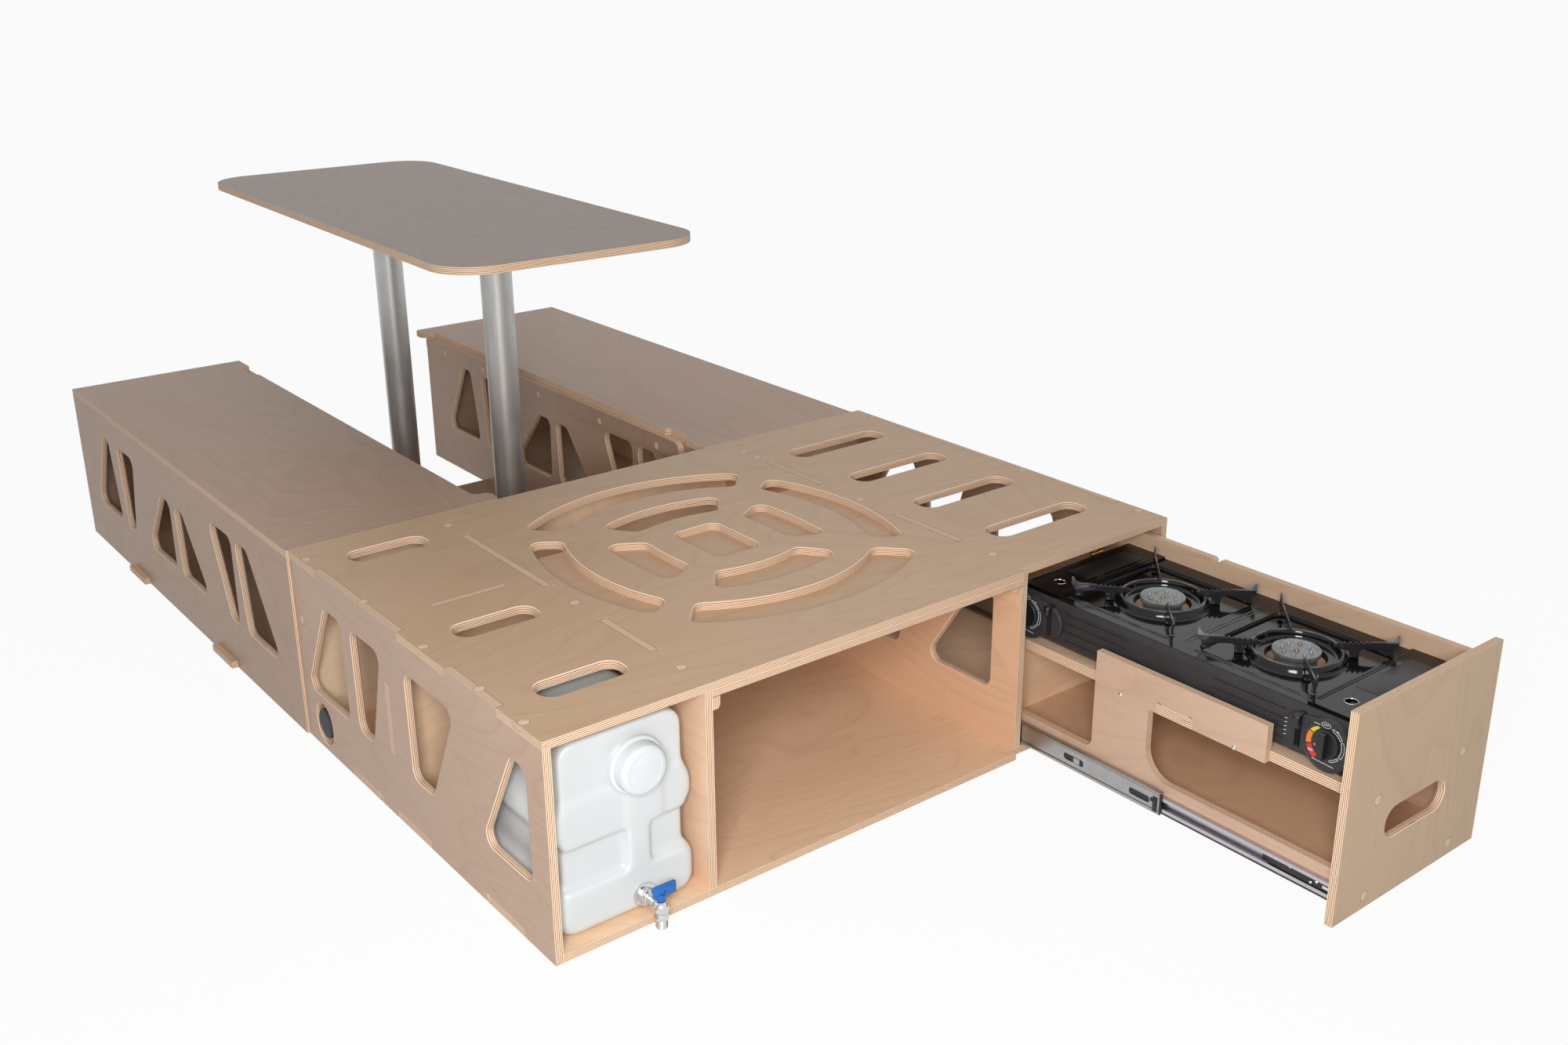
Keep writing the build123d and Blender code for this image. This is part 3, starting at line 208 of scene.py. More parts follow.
def plywood(name, axis, start, thickness, grain, tone, pitch, seed):
    """Birch plywood: a contoured veneer figure on its faces, nine layers on its edges.

    The axis runs through the sheet, which begins at start. Pitch is the distance to the
    next sheet of the same piece, or None.
    """
    layers = 9
    growth_rings = 24.0
    pale_layer, dark_layer = shade(252, 226, 196), shade(158, 102, 64)
    hollow_tone = shade(74, 48, 32)
    finish = Finish(name)
    depth = finish.axis(axis) - start
    if pitch:
        depth = depth % pitch
    depth = depth / thickness
    on_edge = abs(depth - 0.5) < 0.488
    shift = (seed * 1.7, seed * 2.3, seed * 0.9)

    def stretched(across, along):
        scale = [across] * 3
        scale[grain] = along
        return finish.stretch(scale, shift=shift)

    growth = finish.noise(1.0, 2.4, 0.46, stretched(3.0, 0.9), 0.7) * growth_rings
    ring = growth % 1.0
    line = finish.steps(abs(ring - 0.5), 0.34, 0.5)
    band = ring * ring
    patch = finish.noise(1.0, 3.0, 0.55, stretched(6.0, 1.6))
    fibre = finish.noise(1.0, 2.0, 0.6, stretched(360.0, 9.0))
    fleck = finish.steps(finish.noise(1.0, 0.0, 0.5, stretched(640.0, 52.0)), 0.66, 0.80)
    light = scaled(tone, 1.10)
    dark = (tone[0] * 0.78, tone[1] * 0.72, tone[2] * 0.66)
    share = band * 0.15 + line * 0.13 + patch * 0.46 + fibre * 0.30 - 0.20
    face = finish.mix(share, light, dark)
    face = finish.mix(fleck * 0.34, face, dark)

    end_scale = [45.0] * 3
    end_scale[axis] = 900.0
    sawn = finish.noise(1.0, 2.0, 0.6, finish.stretch(end_scale, shift=shift))
    layer = (depth * (layers / 2)) % 1.0
    core = finish.steps(abs(layer - 0.72), 0.26, 0.12)
    void_scale = [26.0] * 3
    void_scale[axis] = 150.0
    hollow = finish.noise(1.0, 0.0, 0.5, finish.stretch(void_scale, shift=shift))
    hollow = finish.steps(hollow, 0.76, 0.80) * core
    strip = finish.mix(core * 0.84 + sawn * 0.18, pale_layer, dark_layer)
    strip = finish.mix(hollow * 0.8, strip, hollow_tone)
    colour = finish.mix(on_edge, face, strip)
    face_relief = fibre * 0.5 - fleck * 0.6 - line * 0.2
    edge_relief = sawn * 0.9 - core * 0.8
    normal = finish.bump(face_relief * (1 - on_edge) + on_edge * edge_relief, 0.00022, 0.45)
    roughness = 0.41 + fibre * 0.10 + on_edge * 0.18
    finish.surface(Base_Color=colour, Roughness=roughness, Normal=normal)
    return finish.surface(Coat_Weight=0.08, Coat_Roughness=0.35)


def steel(name, tone):
    """Bright zinc-plated sheet with lengthwise drawing marks and faint cloudy spots."""
    finish = Finish(name)
    draw = finish.noise(1.0, 2.0, 0.6, finish.stretch((700.0, 6.0, 700.0)))
    cloud = finish.noise(38.0, 3.0, 0.55)
    colour = finish.mix(cloud * 0.55 + draw * 0.35, tone, scaled(tone, 0.62))
    normal = finish.bump(draw, 0.00008, 0.35)
    finish.surface(Base_Color=colour, Roughness=0.25 + cloud * 0.16, Normal=normal)
    return finish.surface(Metallic=1.0)


def black_enamel(name, highlight_low, highlight_high, body=shade(12, 12, 12)):
    """Glossy black enamel with dust, and a painted highlight on its top edges between two heights.
    """
    finish = Finish(name)
    wave = finish.noise(34.0, 2.0, 0.5)
    dust = finish.steps(finish.noise(420.0, 3.0, 0.6), 0.60, 0.78)
    height = (finish.axis(2) - corner.z) / mm
    highlight_breakup = finish.steps(finish.noise(36.0, 2.0, 0.5), 0.30, 0.62)
    # Painted highlight: a pale band on the crests between the two heights, broken up by noise,
    # stands in for light caught by rims, ridges and tooth tops.
    lightening = finish.steps(height, highlight_low, highlight_high) * highlight_breakup
    colour = finish.mix(dust * 0.4, body, shade(52, 49, 46))
    colour = finish.mix(lightening * 0.5, colour, shade(168, 168, 170))
    normal = finish.bump(wave, 0.0008, 0.25)
    roughness = 0.08 + dust * 0.22 + lightening * 0.2 + wave * 0.04
    finish.surface(Base_Color=colour, Roughness=roughness, Normal=normal)
    return finish.surface(Specular_IOR_Level=0.34)


def stove_paint(name):
    """Black stove paint: glossy on the deck, satin and finely speckled on the sides."""
    finish = Finish(name)
    deck = finish.axis(2) > (corner.z + deck_edge * mm)
    wave = finish.noise(26.0, 2.0, 0.5)
    speck = finish.noise(950.0, 2.0, 0.7)
    glint = finish.steps(speck, 0.62, 0.76) * (1 - deck)
    satin = finish.mix(glint * 0.6 + wave * 0.2, shade(44, 42, 44), shade(96, 94, 96))
    colour = finish.mix(deck, satin, finish.mix(wave * 0.4, shade(14, 13, 12), shade(34, 30, 25)))
    normal = finish.bump(speck * (1 - deck) * 0.6 + wave * deck * 2.0, 0.00035, 0.4)
    finish.surface(Base_Color=colour, Roughness=0.46 - deck * 0.34 + wave * 0.04, Normal=normal)
    return finish.surface(Specular_IOR_Level=0.3)


def moulded(name, tone, roughness, grain=900.0, depth=0.00012, mark=0.5):
    """Moulded plastic or rubber with a fine pebbled skin and slightly worn patches."""
    finish = Finish(name)
    pebble = finish.noise(grain, 2.0, 0.6)
    lightening = finish.noise(28.0, 3.0, 0.55)
    lighter = tuple(min(channel * (1 + mark) + 0.01 * mark, 1.0) for channel in tone)
    colour = finish.mix(finish.steps(lightening, 0.42, 0.75) * 0.6 + pebble * 0.25, tone, lighter)
    normal = finish.bump(pebble, depth, 0.5)
    roughness = roughness - 0.07 + lightening * 0.14
    return finish.surface(Base_Color=colour, Roughness=roughness, Normal=normal)


def cast_metal(name):
    """Sand-cast aluminium with a grainy skin and heat stains."""
    finish = Finish(name)
    sand = finish.noise(620.0, 3.0, 0.65)
    stain = finish.steps(finish.noise(60.0, 3.0, 0.6), 0.40, 0.72)
    colour = finish.mix(stain * 0.5 + sand * 0.3, shade(150, 152, 153), shade(96, 92, 88))
    normal = finish.bump(sand, 0.00030, 0.6)
    finish.surface(Base_Color=colour, Roughness=0.42 + sand * 0.20, Normal=normal)
    return finish.surface(Metallic=0.75)


def anodised(name):
    """Satin anodised tube with faint lengthwise drawing lines and handling marks."""
    finish = Finish(name)
    line = finish.noise(1.0, 2.0, 0.6, finish.stretch((900.0, 900.0, 3.0)))
    mark = finish.steps(finish.noise(9.0, 4.0, 0.6, finish.stretch((3.0, 3.0, 1.0))), 0.45, 0.70)
    colour = finish.mix(line * 0.30 + mark * 0.16, shade(196, 196, 194), shade(136, 137, 137))
    normal = finish.bump(line, 0.00006, 0.3)
    finish.surface(Base_Color=colour, Roughness=0.36 + mark * 0.10 + line * 0.05, Normal=normal)
    return finish.surface(Metallic=0.9)


def polished(name, tone, roughness):
    """Plated or polished metal with faint smears."""
    finish = Finish(name)
    smear = finish.noise(90.0, 3.0, 0.6)
    colour = finish.mix(smear * 0.4, tone, scaled(tone, 0.72))
    normal = finish.bump(finish.noise(260.0, 2.0, 0.5), 0.00010, 0.25)
    finish.surface(Base_Color=colour, Roughness=roughness + smear * 0.10, Normal=normal)
    return finish.surface(Metallic=1.0)


def milky_plastic(name):
    """Blow-moulded milky plastic, a little cooler and darker in soft random clouds."""
    finish = Finish(name)
    cloud = finish.noise(7.0, 3.0, 0.5)
    orange_peel = finish.noise(300.0, 2.0, 0.5)
    colour = finish.mix(cloud, shade(224, 227, 227), shade(208, 213, 215))
    normal = finish.bump(orange_peel, 0.00018, 0.35)
    finish.surface(Base_Color=colour, Roughness=0.30 + orange_peel * 0.08, Normal=normal)
    finish.surface(Subsurface_Weight=0.35, Subsurface_Scale=0.02)
    return finish.surface(Subsurface_Radius=(1.0, 1.0, 1.0), Coat_Weight=0.25, Coat_Roughness=0.18)


def end_wood(name, pale, dark):
    """End-grain wood between two tones."""
    finish = Finish(name)
    pore = finish.noise(900.0, 2.0, 0.6)
    patch = finish.noise(60.0, 2.0, 0.5)
    colour = finish.mix(pore * 0.5 + patch * 0.4, pale, dark)
    normal = finish.bump(pore, 0.0002, 0.5)
    return finish.surface(Base_Color=colour, Roughness=0.52 + pore * 0.1, Normal=normal)


# Plywood panels: thickness axis, grain axis and face tone
# All panels are one birch, so the face tones are lit and shaded copies of it: the paler inside
# tones (bays, dividers, back, shelf, seat floors) are painted light, and the darker seat, side and
# table top tones are painted shade.
top_tone = shade(198, 165, 132)
side_shaded_tone = shade(192, 162, 139)
seat_shaded_tone = shade(178, 147, 124)
inner_lit_tone = shade(242, 208, 174)
panel_rows = {
    "kitchen_top": (2, 0, top_tone),
    "stowed_board": (2, 0, shade(196, 162, 130)),
    "board_runners": (0, 1, inner_lit_tone),
    "kitchen_floor": (2, 0, inner_lit_tone),
    "kitchen_left_side": (0, 1, side_shaded_tone),
    "kitchen_right_side": (0, 1, side_shaded_tone),
    "left_divider": (0, 1, shade(236, 200, 170)),
    "right_divider": (0, 1, shade(234, 192, 158)),
    "kitchen_back": (1, 0, shade(252, 222, 190)),
    "canister_bay_back": (1, 0, inner_lit_tone),
    "tie_down_block": (0, 2, inner_lit_tone),
    "table_top": (2, 1, shade(134, 117, 105)),
    "table_base_plate": (2, 1, seat_shaded_tone),
    "drawer_front": (1, 2, shade(200, 171, 138)),
    "drawer_left_side": (0, 1, shade(208, 176, 153)),
    "drawer_right_side": (0, 1, shade(210, 178, 150)),
    "drawer_back": (1, 0, inner_lit_tone),
    "drawer_floor": (2, 1, shade(216, 180, 148)),
    "drawer_shelf": (2, 1, shade(240, 206, 176)),
    "seat_left_outer_side": (0, 1, seat_shaded_tone),
    "seat_left_inner_side": (0, 1, inner_lit_tone),
    "seat_right_outer_side": (0, 1, inner_lit_tone),
    "seat_right_inner_side": (0, 1, seat_shaded_tone),
}
for side in ("left", "right"):
    panel_rows[f"seat_{side}_ends"] = (1, 0, seat_shaded_tone)
    panel_rows[f"seat_{side}_floor"] = (2, 1, shade(214, 182, 154))
    panel_rows[f"seat_{side}_lid"] = (2, 1, seat_shaded_tone)
    panel_rows[f"seat_{side}_lid_cleats"] = (2, 0, seat_shaded_tone)
    panel_rows[f"seat_{side}_ledge"] = (0, 1, seat_shaded_tone)


def dress(node, material):
    """Gives a carried-over node its material in every slot."""
    slots = nodes[node].data.materials
    if not slots:
        slots.append(material)
    for index in range(len(slots)):
        slots[index] = material


for index, (node, (axis, grain, tone)) in enumerate(panel_rows.items()):
    low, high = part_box(node)
    thickness = high[axis] - low[axis]
    pitch = None
    if node.endswith(("_ends", "_runners")):
        pitch = thickness - ply
        thickness = ply
    seed = index * 0.37
    dress(node, plywood(f"birch_{node}", axis, low[axis], thickness, grain, tone, pitch, seed))

zinc = steel("zinc_steel", (0.50, 0.49, 0.48))
# The two heights place each enamel's painted highlight: the deck's raised lines, the pans' rims
# and the arms' tooth tops.
enamel = black_enamel("black_enamel", 270.3, 270.9)
pan_enamel = black_enamel("pan_enamel", 276.2, 277.0)
support_enamel = black_enamel("support_enamel", 288.4, 292.5, shade(42, 40, 44))
paint = stove_paint("stove_paint")
black = moulded("black_plastic", shade(24, 24, 25), 0.42)
gloss_black = moulded("gloss_plastic", shade(20, 20, 22), 0.2, 300.0, 0.00004)
rubber = moulded("black_rubber", shade(30, 30, 30), 0.62, 500.0, 0.0003)
cast = cast_metal("cast_aluminium")
tube = anodised("satin_tube")
brass = polished("brass", shade(206, 160, 82), 0.22)
chrome = polished("bright_nickel", shade(222, 222, 220), 0.10)
milk = milky_plastic("milky_plastic")
white = moulded("white_plastic", shade(220, 225, 228), 0.36, 700.0, 0.0001, 0.03)
blue = moulded("blue_plastic", shade(22, 98, 176), 0.34, 700.0, 0.0001, 0.25)
can_paint = moulded("can_paint", shade(150, 168, 186), 0.28, 300.0, 0.00005, 0.2)
plug_wood = end_wood("plug_wood", shade(240, 218, 190), shade(204, 172, 138))
seam_wood = end_wood("seam_wood", shade(128, 94, 66), shade(92, 64, 44))

for node in ("slide_outers", "slide_middle_left", "slide_middle_right"):
    dress(node, zinc)
# The inner members get a lighter, lilac-tinted copy of the zinc steel: painted light on a web that
# lies in shade, and a painted lilac reflection.
dress("slide_inners", steel("inner_slide_steel_painted_light", (0.66, 0.63, 0.68)))
dress("drip_pans", pan_enamel)
for node in ("pan_support_front", "pan_support_rear"):
    dress(node, support_enamel)
for node in ("stove_housing", "cartridge_lid_front", "cartridge_lid_rear"):
    dress(node, paint)
for where in ("front", "rear"):
    dress(f"stove_knob_{where}", black)
    dress(f"ignition_lever_{where}", black)
for node in ("stove_feet", "tie_down_knob"):
    dress(node, rubber)
for node in ("table_poles", "table_top_sockets", "table_base_sockets"):
    dress(node, tube)
for node in ("drawer_bolt_case", "drawer_bolt_pin"):
    dress(node, brass)
dress("burner_heads", cast)
dress("gas_cartridges", can_paint)
dress("canister_body", milk)
dress("canister_cap", white)
dress("tap_body", chrome)
dress("tap_lever", blue)


# Shapes

def turned(profile, at, facing, steps):
    """A turned shape: pairs of radius and height in millimetres, spun about its axis."""
    shape = bmesh.new()
    points = [shape.verts.new((radius * mm, 0, height * mm)) for radius, height in profile]
    lines = [shape.edges.new(pair) for pair in zip(points, points[1:])]
    bmesh.ops.spin(shape, geom=points + lines, cent=(0, 0, 0), axis=(0, 0, 1),
                   angle=tau, steps=steps, use_merge=True)
    bmesh.ops.remove_doubles(shape, verts=shape.verts, dist=1e-6)
    bmesh.ops.recalc_face_normals(shape, faces=shape.faces)
    turn = Vector(up).rotation_difference(Vector(facing)).to_matrix().to_4x4()
    bmesh.ops.transform(shape, matrix=Matrix.Translation(at) @ turn, verts=shape.verts)
    return shape


def bar(low, high, ease=0.0, segments=2):
    """A bar between two corners with eased edges."""
    shape = bmesh.new()
    size = high - low
    bmesh.ops.create_cube(shape, size=1.0)
    bmesh.ops.scale(shape, vec=size, verts=shape.verts)
    bmesh.ops.translate(shape, vec=(low + high) / 2, verts=shape.verts)
    if ease:
        bmesh.ops.bevel(shape, geom=shape.edges[:], offset=ease * mm, segments=segments,
                        profile=0.5, affect="EDGES", material=-1)
    return shape


def joined(shapes):
    """Several shapes as one."""
    whole = bmesh.new()
    for shape in shapes:
        holder = bpy.data.meshes.new("holder")
        shape.to_mesh(holder)
        shape.free()
        whole.from_mesh(holder)
        bpy.data.meshes.remove(holder)
    return whole


def as_shape(data):
    """A flat curve or text drawn in millimetres, as a closed mesh shape."""
    holder = bpy.data.objects.new("holder", data)
    bpy.context.scene.collection.objects.link(holder)
    graph = bpy.context.evaluated_depsgraph_get()
    mesh = bpy.data.meshes.new_from_object(holder.evaluated_get(graph))
    bpy.data.objects.remove(holder)
    shape = bmesh.new()
    shape.from_mesh(mesh)
    bmesh.ops.remove_doubles(shape, verts=shape.verts, dist=0.001)
    bmesh.ops.recalc_face_normals(shape, faces=shape.faces)
    bmesh.ops.scale(shape, vec=(mm, mm, mm), verts=shape.verts)
    return shape


def plate(outlines, thick, ease=0.0):
    """A flat plate from closed outlines; the first is its edge and the others are openings."""
    curve = bpy.data.curves.new("outline", "CURVE")
    curve.dimensions = "2D"
    curve.fill_mode = "BOTH"
    curve.extrude = thick / 2 - ease
    curve.bevel_depth = ease
    curve.bevel_resolution = 1
    for outline in outlines:
        line = curve.splines.new("POLY")
        line.points.add(len(outline) - 1)
        line.use_cyclic_u = True
        for point, (x, y) in zip(line.points, outline):
            point.co = (x, y, 0, 1)
    return as_shape(curve)


def rounded(x0, x1, y0, y1, radius):
    """The outline of a rectangle with round corners."""
    middles = ((x1 - radius, y1 - radius), (x0 + radius, y1 - radius),
               (x0 + radius, y0 + radius), (x1 - radius, y0 + radius))
    points = []
    for quarter, (x, y) in enumerate(middles):
        for step in range(5):
            turn = radians(90 * quarter + 22.5 * step)
            points.append((x + radius * cos(turn), y + radius * sin(turn)))
    return points


def place(shape, name, body, material, replaced=(), flat=False):
    """Turns a shape into a named piece that rides on a body."""
    mesh = bpy.data.meshes.new(name)
    shape.to_mesh(mesh)
    shape.free()
    mesh.materials.append(material)
    if not flat:
        mesh.shade_smooth()
        mesh.set_sharp_from_angle(angle=radians(38))
    piece = bpy.data.objects.new(name, mesh)
    bpy.context.scene.collection.objects.link(piece)
    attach(piece, body)
    if replaced:
        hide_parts(*replaced)


# Wooden plugs

def plugs(places, facing, name, body):
    """Round plugs over the screws of one group of panels, set a hair proud."""
    profile = ((0, 0.3), (6.9, 0.3), (7.6, 0.1), (7.7, -0.4))
    shapes = [turned(profile, here(*at), facing, 24) for at in places]
    place(joined(shapes), name, body, plug_wood)
    line = ((7.7, 0.04), (8.3, 0.04), (8.3, -0.4))
    shapes = [turned(line, here(*at), facing, 24) for at in places]
    place(joined(shapes), f"{name}_line", body, seam_wood)


top_plug_rows = (
    (9.5, (742, 533, 338, 176, 60)),
    (249, (735, 334, 63)),
    (854, (730, 689, 399, 82)),
    (1180.5, (740, 330, 65)),
)
plugs([(x, y, box_top) for x, row in top_plug_rows for y in row], up, "top_plugs", "frame")
plugs([(0, 526, 8), (0, 178, 8), (0, 768, 214)], (-1, 0, 0), "left_side_plugs", "frame")
plugs([(806, y, 288) for y in (1853, 1664, 1413, 1163, 953)], (-1, 0, 0), "ledge_plugs", "frame")
front_plugs = ((1123, 166), (915, 167), (1121, 20), (913, 20))
plugs([(x, -572, z) for x, z in front_plugs], (0, -1, 0), "drawer_front_plugs", "drawer")


# Water canister

def milky_canister():
    """The canister's outer skin, remeshed and smoothed as blow-moulded plastic is."""
    skin = bmesh.new()
    skin.from_mesh(nodes["canister_body"].data)
    bmesh.ops.remove_doubles(skin, verts=skin.verts, dist=1e-6)
    mouth = here(0, -2, 0).y
    rim = [face for face in skin.faces
           if abs(face.calc_center_median().y - mouth) < 0.2 * mm]
    bmesh.ops.delete(skin, geom=rim, context="FACES")
    outer = {max(skin.verts, key=lambda point: point.co.z)}
    edge_of_reach = list(outer)
    while edge_of_reach:
        point = edge_of_reach.pop()
        for edge in point.link_edges:
            other = edge.other_vert(point)
            if other not in outer:
                outer.add(other)
                edge_of_reach.append(other)
    inside = [point for point in skin.verts if point not in outer]
    bmesh.ops.delete(skin, geom=inside, context="VERTS")
    open_edges = [edge for edge in skin.edges if edge.is_boundary]
    bmesh.ops.holes_fill(skin, edges=open_edges)
    mesh = bpy.data.meshes.new("canister_skin")
    skin.to_mesh(mesh)
    skin.free()
    draft = bpy.data.objects.new("canister_draft", mesh)
    bpy.context.scene.collection.objects.link(draft)
    remesh = draft.modifiers.new("remesh", "REMESH")
    remesh.mode = "VOXEL"
    remesh.voxel_size = 3.2 * mm
    soften = draft.modifiers.new("soften", "SMOOTH")
    soften.factor = 0.5
    soften.iterations = 14
    graph = bpy.context.evaluated_depsgraph_get()
    soft = bpy.data.meshes.new_from_object(draft.evaluated_get(graph))
    bpy.data.objects.remove(draft)
    shape = bmesh.new()
    shape.from_mesh(soft)
    place(shape, "canister_skin", "canister", milk, ["canister_body"])


def ribbed(shape, centre, facing, radius, count, depth, low, high):
    """Pushes every other vertex of a turned wall outwards, as grip ribs."""
    facing = Vector(facing)
    side = facing.orthogonal().normalized()
    across = facing.cross(side)
    for point in shape.verts:
        arm = point.co - centre
        level = arm.dot(facing) / mm
        arm = arm - facing * arm.dot(facing)
        if low < level < high and arm.length > radius * mm:
            turn = arm.angle(side) / tau * count * 2
            if int(round(turn)) % 2:
                point.co += arm.normalized() * depth * mm


def screw_cap():
    """White screw cap on its wide translucent collar."""
    centre = here(142.34, 17.7, 236.3)
    facing = (0, -1, 0)
    profile = ((0, 25.6), (27.5, 25.6), (31.0, 25.0), (33.4, 23.4), (34.6, 20.8), (35.8, 7.0),
               (36.2, 6.2))
    cap = turned(profile, centre, facing, 120)
    ribbed(cap, centre, facing, 34.0, 60, 0.8, 6.9, 21.5)
    face = turned(((24.0, 25.5), (26.0, 26.1), (28.0, 25.5)), centre, facing, 64)
    profile = ((34.3, 0.2), (39.6, 0.2), (40.8, 1.2), (40.8, 4.4), (39.8, 5.8), (36.0, 6.6))
    collar = turned(profile, centre, facing, 96)
    place(joined([cap, face, collar]), "screw_cap", "cap", white,
          ["canister_cap"])


def tap():
    """Nickel ball tap: washer, hex nut, neck, ball and threaded spout."""
    back = here(148.7, 17.0, 36.3)
    valve = here(148.7, -22, 36.3)
    facing = (0, -1, 0)
    profile = ((0, 3.2), (14.0, 3.2), (16.6, 2.6), (17.6, 1.2), (17.6, -3.0))
    washer = turned(profile, back, facing, 40)
    nut = bmesh.new()
    bmesh.ops.create_cone(nut, cap_ends=True, segments=6, radius1=13.0 * mm,
                          radius2=13.0 * mm, depth=8.0 * mm)
    bmesh.ops.bevel(nut, geom=nut.edges[:], offset=0.9 * mm, segments=2, profile=0.5,
                    affect="EDGES", material=-1)
    quarter = Matrix.Rotation(radians(90), 3, "X")
    bmesh.ops.rotate(nut, cent=(0, 0, 0), matrix=quarter, verts=nut.verts)
    bmesh.ops.translate(nut, vec=back + Vector((0, -7.0 * mm, 0)), verts=nut.verts)
    profile = ((9.4, 10.0), (9.4, 13.0), (8.2, 14.2), (8.2, 22.0), (9.6, 24.0), (9.6, 31.0),
               (8.0, 34.0))
    neck = turned(profile, back, facing, 32)
    ball = bmesh.new()
    bmesh.ops.create_uvsphere(ball, u_segments=32, v_segments=18, radius=10.5 * mm)
    bmesh.ops.translate(ball, vec=valve, verts=ball.verts)
    profile = ((4.0, 8.8), (6.2, 9.0), (6.6, 9.8), (6.4, 10.5), (0, 10.7))
    collar = turned(profile, valve, up, 24)
    thread = [(7.2, 6.0), (8.2, 10.0), (9.9, 12.5), (10.0, 15.5), (8.4, 17.0)]
    for ring in range(6):
        level = 17.6 + ring * 1.9
        thread.extend(((7.9, level), (8.5, level + 0.95)))
    thread.extend(((8.2, 29.2), (7.6, 29.9), (6.0, 29.9), (6.0, 20.0), (0, 20.0)))
    spout = turned(thread, valve, (0, 0, -1), 32)
    place(joined([washer, nut, neck, ball, collar, spout]), "ball_tap", "canister",
          chrome, ["tap_body"])


def wing_lever():
    """Blue wing lever on the tap's stem."""
    low = here(137, -25.2, 52.5)
    hub = turned(((0, 21.0), (5.2, 21.0), (6.2, 20.0), (6.4, 12.0), (5.4, 10.9), (0, 10.9)),
                 here(148.7, -22, 36.3), up, 28)
    blade = bar(low, here(172, -18.8, 70), 1.6, 3)
    step = bar(here(136.5, -27.8, 60.5), here(166, -16.2, 68.6), 2.2, 3)
    web = bar(here(144, -24.6, 50), here(158, -19.4, 56), 1.2, 2)
    place(joined([hub, blade, step, web]), "wing_lever", "tap", blue,
          ["tap_lever"])
    dot = turned(((0, 0.2), (1.5, 0.2), (1.9, -0.1)), here(152, -27.7, 63), (0, -1, 0), 16)
    place(dot, "lever_pin", "tap", black)


milky_canister()
screw_cap()
tap()
wing_lever()


# Stove

def drip_pan(x, y):
    """Enamelled pan with a rolled rim, and a tall collar round the burner's well."""
    width = 199.4
    well_radius = 74
    rings = ((1.2, 271.0), (1.4, 271.4), (1.4, 270.8), (2.2, 267.4), (3.0, 265.9), (14.0, 265.1))
    pan = bmesh.new()
    bmesh.ops.create_grid(pan, x_segments=1, y_segments=1, size=width / 2 * mm)
    bmesh.ops.bevel(pan, geom=pan.verts[:], offset=16 * mm, segments=8, profile=0.5,
                    affect="VERTICES", material=-1)
    bmesh.ops.translate(pan, vec=here(x, y, 269.9), verts=pan.verts)
    face = pan.faces[:][0]
    for inset, level in rings:
        bmesh.ops.inset_region(pan, faces=[face], thickness=inset * mm, use_even_offset=True)
        for point in face.verts:
            point.co.z = here(0, 0, level).z
    rim = face.edges[:]
    bmesh.ops.delete(pan, geom=[face], context="FACES_ONLY")
    circle = bmesh.ops.create_circle(pan, segments=96, radius=well_radius * mm,
                                     matrix=Matrix.Translation(here(x, y, 265.1)))
    around = {edge for point in circle["verts"] for edge in point.link_edges}
    bmesh.ops.bridge_loops(pan, edges=rim + list(around))
    bmesh.ops.recalc_face_normals(pan, faces=pan.faces)
    profile = ((well_radius, 0.2), (72.4, 0.6), (70.8, 2.2), (69.4, 5.4), (67.6, 8.9),
               (65.8, 11.2), (64.2, 12.1), (62.6, 12.2), (61.2, 11.5), (60.2, 9.8), (59.2, 5.0),
               (58.2, 1.4), (56.6, -0.1), (54.0, -0.5), (46.0, -0.6), (44.2, -0.9), (43.4, -2.0),
               (43.0, -5.0), (42.8, -14.0), (30.5, -15.5))
    return joined([pan, turned(profile, here(x, y, 264.9), up, 96)])


def pan_support(x, y, where):
    """Four upright arms that carry a pot: toothed tops, two legs and an upright tip."""
    teeth = 7
    outline = [(50.5, 280.4), (58.0, 278.4), (66.0, 277.5), (73.0, 276.4), (74.0, 266.3),
               (86.0, 266.3), (86.6, 275.6), (89.0, 278.6), (98.0, 279.4), (116.0, 278.9),
               (120.2, 276.8), (121.4, 271.2), (132.0, 271.2), (132.8, 279.2), (139.2, 288.6),
               (139.2, 300.4), (137.6, 300.9), (133.4, 294.2), (127.4, 291.0), (110.0, 290.0)]
    for index in range(teeth):
        reach = 104.0 - 7.5 * index
        level = 289.8 - 0.4 * index
        outline.extend(((reach, level), (reach - 2.4, level), (reach - 3.8, level - 2.6),
                        (reach - 6.0, level - 2.6)))
    outline.append((50.5, 284.6))
    arms = []
    for index in range(4):
        turn = tau * (index + 0.5) / 4
        arm = plate([outline], 2.6, 0.5)
        out = Matrix(((cos(turn), 0, sin(turn)), (sin(turn), 0, -cos(turn)), (0, 1, 0))).to_4x4()
        bmesh.ops.transform(arm, matrix=Matrix.Translation(here(x, y, 0)) @ out, verts=arm.verts)
        arms.append(arm)
        for reach, level in ((80.0, 266.4), (126.7, 271.3)):
            foot = bar(Vector((reach - 5.6, -4.2, level)) * mm,
                       Vector((reach + 5.6, 4.2, level + 1.6)) * mm, 0.6)
            spin = Matrix.Translation(here(x, y, 0)) @ Matrix.Rotation(turn, 4, "Z")
            bmesh.ops.transform(foot, matrix=spin, verts=foot.verts)
            arms.append(foot)
    place(joined(arms), f"{where}_pan_arms", "drawer", support_enamel,
          [f"pan_support_{where}"])


